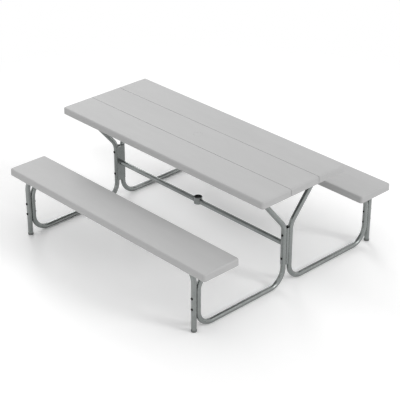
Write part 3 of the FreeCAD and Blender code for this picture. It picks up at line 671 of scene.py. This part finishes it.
@dataclass(frozen=True)
class Galvanised(Finish):
    """Dull galvanised sheet, whose grain is its frosty spangle."""

    light: Colour = grey(0.56, 0.01)
    dark: Colour = grey(0.40, 0.01)
    patch: float = 0.05
    grain: float = 0.011
    grain_depth: float = 0.00002
    grain_show: float = 0.3
    scuff: float = 0.006
    scuff_cover: float = 0.35
    spangle_share: float = 0.45
    rough_range: Pair = (0.36, 0.52)
    metallic: float = 0.85

    def lay(self, sheet: MaterialSheet) -> None:
        """Lay the sheet's nodes.

        Args:
            sheet: The material's nodes.
        """
        tone = sheet.split(sheet.cells(sheet.place, self.grain).outputs["Color"])[0]
        colour = sheet.over(self.lay_tones(sheet), self.light, tone, self.spangle_share)
        colour = sheet.over(colour, self.dark, self.lay_scuffs(sheet), self.scuff_share)
        rough = sheet.span(tone, 0.0, 1.0, *self.rough_range)
        self.close(sheet, colour, rough, tone, Metallic=self.metallic)


@dataclass(frozen=True)
class CoatedFastener(Finish):
    """Coated steel of bolts, nuts and screws, rubbed bright in places."""

    light: Colour = grey(0.007)
    dark: Colour = grey(0.004)
    patch: float = 0.006
    grain: float = 0.0004
    grain_depth: float = 0.00003
    grain_softness: float = 0.8
    scuff: float = 0.0016
    rubbed: Colour = grey(0.03)
    pit_rough: float = 0.1
    metallic: float = 0.0
    specular: float = 0.14

    def lay(self, sheet: MaterialSheet) -> None:
        """Lay the coat's nodes.

        Args:
            sheet: The material's nodes.
        """
        grain = self.lay_grain(sheet)
        colour = sheet.mix(self.lay_scuffs(sheet), self.lay_tones(sheet), self.rubbed)
        rough = sheet.shift(self.rough, grain["Pits"], self.pit_rough)
        others = {"Metallic": self.metallic, "Specular_IOR_Level": self.specular}
        self.close(sheet, colour, rough, grain["Height"], **others)


@dataclass(frozen=True)
class FootPlastic(Finish):
    """Dark grey moulded plastic, dusty near the floor."""

    light: Colour = (0.178, 0.188, 0.185, 1.0)
    dark: Colour = (0.148, 0.158, 0.155, 1.0)
    patch: float = 0.02
    grain: float = 0.0008
    grain_depth: float = 0.00008
    grain_show: float = 0.5
    dusty: Colour = (0.27, 0.27, 0.26, 1.0)
    pit_rough: float = 0.15
    dust_reach: float = 0.014
    dust_share: float = 0.4

    def lay(self, sheet: MaterialSheet) -> None:
        """Lay the plastic's nodes.

        Args:
            sheet: The material's nodes.
        """
        grain = self.lay_grain(sheet)
        dust = FloorDust.use(sheet, Reach=self.dust_reach)["Mask"]
        colour = sheet.over(self.lay_tones(sheet), self.dusty, dust, self.dust_share)
        rough = sheet.shift(self.rough, grain["Pits"], self.pit_rough)
        self.close(sheet, colour, rough, grain["Height"])


# Modelling


class Workbench:
    """Modelling steps that the new pieces share, done with Blender's own operators."""

    crown_share = 0.12

    @staticmethod
    def put_down() -> None:
        """Leave edit mode and deselect everything."""
        if bpy.context.object and bpy.context.object.mode != "OBJECT":
            bpy.ops.object.mode_set(mode="OBJECT")
        bpy.ops.object.select_all(action="DESELECT")

    @classmethod
    def take(cls, *pieces: bpy.types.Object) -> None:
        """Select some pieces alone, the first as the active one.

        Args:
            pieces: The pieces.
        """
        cls.put_down()
        for piece in pieces:
            piece.select_set(True)
        bpy.context.view_layer.objects.active = pieces[0]

    @classmethod
    def dome(cls, radius: float, height: float, edge_share: float, narrowing: float) -> list[Ring]:
        """Work out a domed top.

        Args:
            radius: The radius of its edge.
            height: The height of its crown.
            edge_share: How high its edge is, as a share of the height.
            narrowing: How fast it narrows: 1 for an oval side and less for a fuller one.

        Returns:
            The radius and height of each ring, from the edge up.
        """
        rings = [(radius, edge_share * height)]
        for degrees in range(ARC_STEP, 90, ARC_STEP):
            turn = math.radians(degrees)
            rise = edge_share + (1 - edge_share) * math.sin(turn)
            rings.append((radius * math.cos(turn) ** narrowing, height * rise))
        return [*rings, (cls.crown_share * radius, height)]

    @classmethod
    def raise_rings(cls, name: str, rings: list[Ring], sides: int) -> bpy.types.Object:
        """Model a round piece about Z: a disc, extruded and resized ring by ring.

        Args:
            name: The piece's name.
            rings: The radius and height of each ring, from the middle of its underside on.
            sides: How many sides the rings have.

        Returns:
            The piece.
        """
        cls.put_down()
        bpy.ops.mesh.primitive_circle_add(
            vertices=sides, radius=rings[0][0], fill_type="NGON", location=(0, 0, rings[0][1])
        )
        piece = bpy.context.object
        piece.name = name
        bpy.ops.object.transform_apply()
        bpy.ops.object.mode_set(mode="EDIT")
        bpy.ops.mesh.select_all(action="SELECT")
        for (before, low), (after, high) in zip(rings, rings[1:]):
            bpy.ops.mesh.extrude_region_move(TRANSFORM_OT_translate={"value": (0, 0, high - low)})
            share = after / before
            bpy.ops.transform.resize(value=(share, share, 1), center_override=(0, 0, high))
        bpy.ops.mesh.select_all(action="SELECT")
        bpy.ops.mesh.normals_make_consistent(inside=False)
        cls.put_down()
        return piece

    @classmethod
    def pick(cls, piece: bpy.types.Object, wanted: Callable[[Vector], bool]) -> None:
        """Enter edit mode with some vertices selected.

        Args:
            piece: The piece.
            wanted: A test of a vertex's place.
        """
        cls.take(piece)
        bpy.ops.object.mode_set(mode="EDIT")
        bpy.ops.mesh.select_mode(type="VERT")
        bpy.ops.mesh.select_all(action="DESELECT")
        bpy.ops.object.mode_set(mode="OBJECT")
        for vertex in piece.data.vertices:
            vertex.select = wanted(vertex.co)
        bpy.ops.object.mode_set(mode="EDIT")

    @classmethod
    def apply(cls, piece: bpy.types.Object, kind: str, **settings: object) -> None:
        """Add a modifier and apply it.

        Args:
            piece: The piece.
            kind: The modifier's type.
            settings: Property names and what they are set to.
        """
        cls.take(piece)
        modifier = piece.modifiers.new(kind.title(), kind)
        for name, setting in settings.items():
            setattr(modifier, name, setting)
        bpy.ops.object.modifier_apply(modifier=modifier.name)

    @classmethod
    def smooth(cls, piece: bpy.types.Object, degrees: float = 32.0) -> None:
        """Shade a piece smooth where its faces meet at less than an angle."""
        cls.take(piece)
        bpy.ops.object.shade_smooth_by_angle(angle=math.radians(degrees))

    @classmethod
    def copies(cls, master: bpy.types.Object, name: str, places: Iterable[Matrix]) -> bpy.types.Object:
        """Copy a master to several places and join the copies into one piece.

        Args:
            master: The piece to copy, at the origin.
            name: The new piece's name.
            places: Where each copy goes.

        Returns:
            The joined piece.
        """
        made = []
        for place in places:
            copy = master.copy()
            copy.data = master.data.copy()
            copy.data.transform(place)
            bpy.context.scene.collection.objects.link(copy)
            made.append(copy)
        cls.take(*made)
        if len(made) > 1:
            bpy.ops.object.join()
        joined = bpy.context.view_layer.objects.active
        joined.name = name
        joined.data.name = name
        return joined


def dress(piece: bpy.types.Object, material: bpy.types.Material) -> None:
    """Give a piece one material and report it.

    Args:
        piece: A CAD node or a new piece.
        material: Its material.
    """
    if piece.material_slots:
        piece.material_slots[0].material = material
    else:
        piece.data.materials.append(material)
    LOG.info("%s: %s, %d faces", piece.name, material.name, len(piece.data.polygons))


def finish_piece(piece: bpy.types.Object, material: bpy.types.Material, slot: str, *nodes: str) -> None:
    """Dress a new piece and join it to the frame.

    Args:
        piece: The new piece, at the origin.
        material: Its material.
        slot: Not used.
        nodes: The CAD nodes that it stands for.
    """
    dress(piece, material)
    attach(piece, BODY)
    if nodes:
        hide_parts(*nodes)


# Sub-assemblies


@dataclass
class Planks:
    """The three planks of the top, the two seats and the cap of the parasol hole."""

    nodes: dict[str, bpy.types.Object]
    planks: tuple[str, ...] = (
        "top_plank_back", "top_plank_middle", "top_plank_front", "seat_plank_back", "seat_plank_front"
    )
    holed: str = "top_plank_middle"
    cap: str = "parasol_hole_cap"

    def build(self) -> None:
        """Give each plank its own resin, and the cap that of the plank around it."""
        made = {name: MouldedResin(f"{name}_resin", node=name).make() for name in self.planks}
        for name, material in made.items():
            dress(self.nodes[name], material)
        dress(self.nodes[self.cap], made[self.holed])


@dataclass
class EndFrames:
    """The bent tubes, bench legs, foot caps, seat plates, spacer posts and joint plates of both ends."""

    nodes: dict[str, bpy.types.Object]
    paint: bpy.types.Material
    plastic: bpy.types.Material
    galvanised: bpy.types.Material
    post_wall: float = 0.0015
    cap_sides: int = 64
    cap_socket_radius: float = 0.0161
    cap_floor: float = 0.005
    cap_lip: float = 0.0005
    cap_groove: float = 0.0006
    cap_hollow: float = 0.0012
    cap_rounding_share: float = 0.23
    hollow_shares: tuple[float, ...] = (0.3, 0.44)
    rim_share: float = 0.52
    groove_level_shares: tuple[float, ...] = (0.44, 0.68)
    groove_shares: tuple[Pair, ...] = ((-2.2, 0.0), (-1.4, 1.0), (1.4, 1.0), (2.2, 0.0))
    socket_floor_share: float = 0.5

    def build(self) -> None:
        """Dress the tubes and model the foot caps."""
        for corner in Corner:
            dress(self.nodes[f"frame_tube_{corner.value}"], self.paint)
            dress(self.nodes[f"bench_leg_{corner.value}"], self.paint)
            dress(self.nodes[f"seat_bracket_{corner.value}"], self.galvanised)
        for end in End:
            post = f"spacer_post_{end.suffix}"
            coat = OpenTubeCoat(f"{post}_coat", node=post, wall=self.post_wall, square=1.0)
            dress(self.nodes[post], coat.make())
            dress(self.nodes[f"joint_plate_{end.suffix}"], self.paint)
        self.model_foot_caps()

    def cap_rings(self, radius: float, height: float) -> list[Ring]:
        """Work out a foot cap: hollow base, rounded side, two grooves, lip and socket.

        Args:
            radius: Its outer radius.
            height: Its height.

        Returns:
            The radius and height of each ring, from the middle of its underside on.
        """
        rings = [(share * radius, self.cap_hollow) for share in self.hollow_shares]
        rings.append((self.rim_share * radius, 0.0))
        rounding = self.cap_rounding_share * radius
        for degrees in range(0, 90 + ARC_STEP, ARC_STEP):
            turn = math.radians(degrees)
            rings.append((radius - rounding * (1 - math.sin(turn)), rounding * (1 - math.cos(turn))))
        for level in self.groove_level_shares:
            for offset, depth in self.groove_shares:
                rings.append((radius - depth * self.cap_groove, level * height + offset * self.cap_groove))
        rings += [
            (radius, height - 2 * self.cap_lip),
            (radius - self.cap_lip, height),
            (self.cap_socket_radius + self.cap_lip / 2, height),
            (self.cap_socket_radius, height - self.cap_lip),
            (self.cap_socket_radius, self.cap_floor),
            (self.socket_floor_share * self.cap_socket_radius, self.cap_floor),
        ]
        return rings

    def model_foot_caps(self) -> None:
        """Model one foot cap and put a copy under each bench leg."""
        low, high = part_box("foot_cap_front_right")
        rings = self.cap_rings((high.x - low.x) / 2, high.z)
        master = Workbench.raise_rings("foot_cap_master", rings, self.cap_sides)
        Workbench.smooth(master)
        for corner in Corner:
            node = f"foot_cap_{corner.value}"
            low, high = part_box(node)
            place = Matrix.Translation(((low.x + high.x) / 2, (low.y + high.y) / 2, 0))
            cap = Workbench.copies(master, f"moulded_{node}", [place])
            finish_piece(cap, self.plastic, "foot_plastic", node)
        bpy.data.objects.remove(master)


@dataclass
class MiddleStretcher:
    """Both stretcher halves, the parasol ring, its spigots and the weld beads of both ends."""

    nodes: dict[str, bpy.types.Object]
    paint: bpy.types.Material
    bead_paint: bpy.types.Material
    # Painted shade: the dark grey inside the parasol ring.
    bore_shade_colour: Colour = grey(0.06)
    ring_wall: float = 0.003
    level: float = 0.265
    tube_radius: float = 0.016
    spigot_radius: float = 0.0143
    bead_radius: float = 0.0016
    bead_lift: float = 0.0006
    bead_sides: int = 12
    bead_smoothing: float = 60.0
    edge_bead_radius: float = 0.0021
    edge_bead_step: float = 0.0045
    edge_bead_tip_share: float = 0.3
    ripples: int = 26
    ripple_parts: int = 3
    ripple_swell: float = 0.0003

    def build(self) -> None:
        """Dress the tubes and lay the beads."""
        for end in End:
            dress(self.nodes[f"stretcher_{end.suffix}"], self.paint)
            dress(self.nodes[f"ring_spigot_{end.suffix}"], self.paint)
        ring_coat = OpenTubeCoat(
            "parasol_ring_coat", node="parasol_ring", bore_shade=self.bore_shade_colour, wall=self.ring_wall
        )
        dress(self.nodes["parasol_ring"], ring_coat.make())
        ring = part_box("parasol_ring")[1].x
        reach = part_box("stretcher_right")[1].x
        for end in End:
            bead = self.bead(f"weld_ring_{end.suffix}", self.spigot_radius + self.bead_lift)
            self.place_bead(bead, end, ring + self.bead_lift, ring)
            bead = self.bead(f"weld_stretcher_{end.suffix}", self.tube_radius + self.bead_lift)
            self.place_bead(bead, end, reach - self.bead_lift, None)
        self.lay_edge_beads()

    def lay_edge_beads(self) -> None:
        """Model one straight rippled bead and lay a copy along each upright edge of the joint plates."""
        low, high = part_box("joint_plate_right")
        step = self.edge_bead_step
        tip = self.edge_bead_tip_share * self.edge_bead_radius
        count = round((high.z - low.z) / step) - 2
        rings = [(tip, low.z + step / 2)]
        for number in range(1, 2 * count + 2):
            radius = self.edge_bead_radius - (self.ripple_swell if number % 2 else 0.0)
            rings.append((radius, low.z + (0.5 + number / 2) * step))
        rings.append((tip, rings[-1][1] + step / 2))
        master = Workbench.raise_rings("weld_edge_master", rings, self.bead_sides)
        Workbench.smooth(master, self.bead_smoothing)
        for end in End:
            x = end.value * (low.x + self.edge_bead_radius)
            places = [Matrix.Translation((x, side * high.y, 0.0)) for side in SIGNS]
            beads = Workbench.copies(master, f"weld_edges_{end.suffix}", places)
            finish_piece(beads, self.bead_paint, "frame_paint")
        bpy.data.objects.remove(master)

    def bead(self, name: str, radius: float) -> bpy.types.Object:
        """Model a rippled weld bead around the X axis.

        Args:
            name: The bead's name.
            radius: The radius that its middle runs at.

        Returns:
            The bead.
        """
        parts = self.ripple_parts * self.ripples
        step = 2 * math.pi / parts
        Workbench.put_down()
        bpy.ops.mesh.primitive_torus_add(
            major_segments=parts, minor_segments=self.bead_sides, major_radius=radius,
            minor_radius=self.bead_radius, rotation=(0, math.pi / 2, 0),
        )
        bead = bpy.context.object
        bead.name = name
        bpy.ops.object.transform_apply()
        Workbench.pick(bead, lambda at: round(math.atan2(at.y, at.z) / step) % self.ripple_parts == 0)
        bpy.ops.transform.shrink_fatten(value=self.ripple_swell)
        Workbench.smooth(bead, self.bead_smoothing)
        return bead

    def place_bead(self, bead: bpy.types.Object, end: End, x: float, ring: float | None) -> None:
        """Move a bead to its joint and wrap it to the round side that it lies on.

        Args:
            bead: The bead, around the X axis at the origin.
            end: The end of the set that it goes to.
            x: How far out it goes.
            ring: The radius of an upright round side, or None for a flat one.
        """
        for vertex in bead.data.vertices:
            wrap = math.sqrt(ring**2 - vertex.co.y**2) - ring if ring else 0.0
            vertex.co.x = end.value * (vertex.co.x + x + wrap)
            vertex.co.z += self.level
        if end is End.LEFT:
            bead.data.flip_normals()
        finish_piece(bead, self.bead_paint, "frame_paint")


@dataclass
class Undercarriage:
    """The rails and battens under the top."""

    nodes: dict[str, bpy.types.Object]
    galvanised: bpy.types.Material

    def build(self) -> None:
        """Dress the channels."""
        for end in End:
            dress(self.nodes[f"top_rail_{end.suffix}"], self.galvanised)
            dress(self.nodes[f"top_batten_{end.suffix}"], self.galvanised)


@dataclass
class Fasteners:
    """The bolts, nuts and screws. The screws and the covers of the outer bolt heads are new pieces."""

    nodes: dict[str, bpy.types.Object]
    black: bpy.types.Material
    zinc: bpy.types.Material
    end_x: float = 0.761
    batten_x: float = 0.33
    plank_pitch: float = 0.2335
    plank_screw_y: float = 0.05775
    bracket_screw_ys: tuple[float, ...] = (0.594, 0.68356, 0.72604)
    ring_screw_x: float = 0.038
    shank_radius: float = 0.0025
    shank_length: float = 0.025
    ring_shank_length: float = 0.006
    tip_shares: tuple[Pair, ...] = ((0.2, 0.0), (0.62, 0.6), (1.0, 1.4))
    head_radius: float = 0.005
    head_height: float = 0.003
    head_underside_share: float = 0.96
    head_edge_share: float = 0.08
    head_narrowing: float = 0.8
    recess_width: float = 0.0012
    recess_reach: float = 0.0052
    recess_depth: float = 0.0018
    recess_taper_share: float = 0.55
    screw_turn: float = 37.0
    sides: int = 32
    bolt_head_radius: float = 0.0065
    bolt_head_height: float = 0.0026
    cover_radius: float = 0.0079
    cover_height: float = 0.0042
    cover_skirt: float = 0.0016
    skirt_shares: tuple[Pair, ...] = ((0.5, -1.0), (0.95, -1.0), (1.0, -0.8))
    cover_edge_share: float = 0.24
    cover_narrowing: float = 0.7

    def build(self) -> None:
        """Dress the bolts and nuts, and model the screws and the covers of the bolt heads."""
        for name in ("column_bolts", "column_nuts", "leg_bolts", "leg_nuts", "rail_bolts", "rail_nuts"):
            dress(self.nodes[name], self.black)
        long_screw = self.screw("long_screw_master", self.shank_length)
        short_screw = self.screw("short_screw_master", self.ring_shank_length)
        rail = [(sign * self.end_x, y) for sign in SIGNS for y in self.channel_ys()]
        batten = [(sign * self.batten_x, y) for sign in SIGNS for y in self.channel_ys()]
        seat = [(a * self.end_x, b * y) for a in SIGNS for b in SIGNS for y in self.bracket_screw_ys]
        for node, spots in (("rail_screws", rail), ("batten_screws", batten), ("seat_screws", seat)):
            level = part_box(node)[0].z + self.head_height
            screws = self.set_screws(long_screw, node, spots, level, upside_down=True)
            finish_piece(screws, self.zinc, "zinc_screw", node)
        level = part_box("ring_screws")[1].z - self.head_height
        ring = [(sign * self.ring_screw_x, 0.0) for sign in SIGNS]
        screws = self.set_screws(short_screw, "ring_screws", ring, level, upside_down=False)
        finish_piece(screws, self.black, "black_fastener", "ring_screws")
        cover = self.cover()
        for node, sides in (("column_bolts", (-1,)), ("leg_bolts", SIGNS)):
            self.set_covers(cover, node, sides)
        for master in (long_screw, short_screw, cover):
            bpy.data.objects.remove(master)

    def cover(self) -> bpy.types.Object:
        """Model the round plastic cover of a bolt head, its top up and the head's underside at Z = 0.

        Returns:
            The cover.
        """
        radius, height = self.cover_radius, self.cover_height
        rings = [(share * radius, drop * self.cover_skirt) for share, drop in self.skirt_shares]
        rings += Workbench.dome(radius, height, self.cover_edge_share, self.cover_narrowing)
        cover = Workbench.raise_rings("bolt_cover_master", rings, self.sides)
        Workbench.smooth(cover)
        return cover

    def set_covers(self, master: bpy.types.Object, node: str, sides: tuple[int, ...]) -> None:
        """Set copies of the cover on the heads of one group of bolts.

        Args:
            master: The cover to copy.
            node: The bolts' CAD node, which gives their places.
            sides: The signs along Y of the sides that the heads face.
        """
        low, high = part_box(node)
        heights = (low.z + self.bolt_head_radius, high.z - self.bolt_head_radius)
        level = -low.y - self.bolt_head_height
        places = [
            Matrix.Translation((x, side * level, z)) @ Matrix.Rotation(-side * math.pi / 2, 4, "X")
            for x in (-self.end_x, self.end_x) for side in sides for z in heights
        ]
        covers = Workbench.copies(master, f"{node}_covers", places)
        finish_piece(covers, self.black, "black_fastener")

    def channel_ys(self) -> list[float]:
        """Give the places of a channel's screws along Y."""
        planks = (-1, 0, 1)
        return [plank * self.plank_pitch + side * self.plank_screw_y for plank in planks for side in SIGNS]

    def screw(self, name: str, length: float) -> bpy.types.Object:
        """Model a domed screw with a cross recess, its head up and its head's underside at Z = 0.

        Args:
            name: The screw's name.
            length: The length of its shank.

        Returns:
            The screw.
        """
        shank, head, height = self.shank_radius, self.head_radius, self.head_height
        rings = [(share * shank, rise * shank - length) for share, rise in self.tip_shares]
        rings += [(shank, 0.0), (self.head_underside_share * head, 0.0)]
        rings += Workbench.dome(head, height, self.head_edge_share, self.head_narrowing)
        screw = Workbench.raise_rings(name, rings, self.sides)
        taper = (self.recess_taper_share, self.recess_taper_share, 1)
        for turn in (0.0, math.pi / 2):
            Workbench.put_down()
            bpy.ops.mesh.primitive_cube_add(size=1, rotation=(0, 0, turn))
            cutter = bpy.context.object
            cutter.scale = (self.recess_reach, self.recess_width, 2 * self.recess_depth)
            cutter.location = (0, 0, height)
            bpy.ops.object.transform_apply()
            Workbench.pick(cutter, lambda at: at.z < height)
            bpy.ops.transform.resize(value=taper, center_override=(0, 0, height))
            Workbench.put_down()
            Workbench.apply(screw, "BOOLEAN", operation="DIFFERENCE", solver="EXACT", object=cutter)
            bpy.data.objects.remove(cutter)
        Workbench.smooth(screw)
        return screw

    def set_screws(
        self, master: bpy.types.Object, node: str, spots: list[Pair], level: float, upside_down: bool
    ) -> bpy.types.Object:
        """Set copies of a screw at some spots of one level.

        Args:
            master: The screw to copy.
            node: The CAD node that they stand for, whose name the new piece takes after "cross_".
            spots: Their places along X and Y.
            level: The height of the undersides of their heads.
            upside_down: Whether their heads point down.

        Returns:
            The screws, as one piece.
        """
        flip = Matrix.Rotation(math.pi, 4, "X") if upside_down else Matrix.Identity(4)
        places = []
        for number, (x, y) in enumerate(spots):
            turn = Matrix.Rotation(math.radians(self.screw_turn * number), 4, "Z")
            places.append(Matrix.Translation((x, y, level)) @ turn @ flip)
        return Workbench.copies(master, f"cross_{node}", places)


# Studio


@dataclass(frozen=True)
class Lamp:
    """A broad lamp far away: its strength, where its light comes from and how wide it looks."""

    name: str
    strength: float
    turn: float
    rise: float
    width: float = 18.0

    def hang(self) -> None:
        """Hang the lamp, turned from +X towards +Y and raised from the floor."""
        turn, rise = math.radians(self.turn), math.radians(self.rise)
        Workbench.put_down()
        bpy.ops.object.light_add(type="SUN")
        lamp = bpy.context.object
        lamp.name = self.name
        lamp.data.energy = self.strength
        lamp.data.angle = math.radians(self.width)
        way = Vector((math.cos(turn) * math.cos(rise), math.sin(turn) * math.cos(rise), math.sin(rise)))
        lamp.rotation_mode = "QUATERNION"
        lamp.rotation_quaternion = way.to_track_quat("Z", "Y")


@dataclass
class Studio:
    """The floor, the light and the camera."""

    floor_side: float = 60.0
    floor_colour: Colour = grey(0.78)
    floor_seen: Colour = grey(1.14)
    fade_start: float = 1.8
    fade_end: float = 3.4
    sky: float = 0.81
    lamps: tuple[Lamp, ...] = (Lamp("right_lamp", 0.66, 22.0, 31.0), Lamp("back_lamp", 0.52, 150.0, 25.0))
    azimuth: float = 46.46
    elevation: float = 28.227
    roll: float = 0.113
    distance: float = 8.2145
    target: Point = (-0.0485, 0.0627, 0.2262)
    lens: float = 116.523
    sensor: float = 36.0

    def build(self) -> None:
        """Lay the floor, light it and aim the camera."""
        self.lay_floor()
        self.light()
        self.aim_camera()
        bpy.context.scene.view_settings.view_transform = "Standard"

    @staticmethod
    def seen_directly(sheet: NodeSheet) -> bpy.types.NodeSocket:
        """Tell what is seen, directly, mirrored or through glass, from what only gives light.

        Args:
            sheet: The material's or the world's nodes.

        Returns:
            A socket that is 1 where it is seen.
        """
        path = sheet.add("ShaderNodeLightPath").outputs
        mirrored = sheet.sum("MAXIMUM", path["Is Glossy Ray"], path["Is Transmission Ray"])
        return sheet.sum("MAXIMUM", path["Is Camera Ray"], mirrored)

    def lay_floor(self) -> None:
        """Lay a pale floor that keeps the shadow and fades to white further out."""
        Workbench.put_down()
        bpy.ops.mesh.primitive_plane_add(size=self.floor_side)
        floor = bpy.context.object
        floor.name = "studio_floor"
        material = bpy.data.materials.new("studio_floor")
        sheet = NodeSheet(blank_tree(material))
        seen = self.seen_directly(sheet)
        shader = sheet.add("ShaderNodeBsdfDiffuse")
        sheet.fill(shader, Color=sheet.mix(seen, self.floor_colour, self.floor_seen))
        white = sheet.add("ShaderNodeEmission")
        away = sheet.add("ShaderNodeVectorMath", operation="LENGTH")
        sheet.feed(away.inputs[0], sheet.add("ShaderNodeTexCoord").outputs["Object"])
        fade = sheet.span(away.outputs["Value"], self.fade_start, self.fade_end)
        mixed = sheet.add("ShaderNodeMixShader")
        shown = (sheet.times(fade, seen), shader.outputs[0], white.outputs[0])
        for socket, source in zip(mixed.inputs, shown):
            sheet.feed(socket, source)
        sheet.fill(sheet.add("ShaderNodeOutputMaterial"), Surface=mixed.outputs[0])
        dress(floor, material)

    def light(self) -> None:
        """Light from a pale sky and the broad lamps."""
        world = bpy.data.worlds.new("studio_sky")
        bpy.context.scene.world = world
        sheet = NodeSheet(blank_tree(world))
        strength = sheet.span(self.seen_directly(sheet), 0.0, 1.0, self.sky, 1.0)
        back = sheet.fill(sheet.add("ShaderNodeBackground"), Color=grey(1.0), Strength=strength)
        sheet.fill(sheet.add("ShaderNodeOutputWorld"), Surface=back.outputs[0])
        for lamp in self.lamps:
            lamp.hang()

    def aim_camera(self) -> None:
        """Aim the camera at the photograph's angle."""
        turn, rise, roll = (math.radians(angle) for angle in (self.azimuth, self.elevation, self.roll))
        back = Vector((math.sin(turn) * math.cos(rise), -math.cos(turn) * math.cos(rise), math.sin(rise)))
        level = Vector((math.cos(turn), math.sin(turn), 0.0))
        upright = back.cross(level)
        right = level * math.cos(roll) + upright * math.sin(roll)
        matrix = Matrix((right, back.cross(right), back)).transposed().to_4x4()
        matrix.translation = Vector(self.target) + back * self.distance
        Workbench.put_down()
        bpy.ops.object.camera_add()
        camera = bpy.context.object
        camera.matrix_world = matrix
        camera.data.sensor_width = self.sensor
        camera.data.lens = self.lens
        bpy.context.scene.camera = camera


def clear_scene() -> None:
    """Remove what a new file starts with."""
    for thing in list(bpy.data.objects):
        bpy.data.objects.remove(thing)


def main() -> None:
    """Load the frame, dress it, add the new pieces and set up the studio."""
    logging.basicConfig(level=logging.INFO, format="%(name)s %(message)s")
    clear_scene()
    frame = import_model()
    nodes = frame["nodes"]
    paint = PowderCoat("frame_powder_coat").make()
    galvanised = Galvanised("galvanised_sheet").make()
    Planks(nodes).build()
    EndFrames(nodes, paint, FootPlastic("foot_cap_plastic").make(), galvanised).build()
    bead_paint = PowderCoat("weld_bead_coat", grain=0.0009, grain_depth=0.0003).make()
    MiddleStretcher(nodes, paint, bead_paint).build()
    Undercarriage(nodes, galvanised).build()
    zinc = CoatedFastener("zinc_plate", light=grey(0.6, 0.02), dark=grey(0.48, 0.02), rubbed=grey(0.7),
                          metallic=0.95, specular=0.5, rough=0.28, scuff_cover=0.4)
    Fasteners(nodes, CoatedFastener("black_coat").make(), zinc.make()).build()
    Studio().build()


if __name__ == "__main__":
    main()
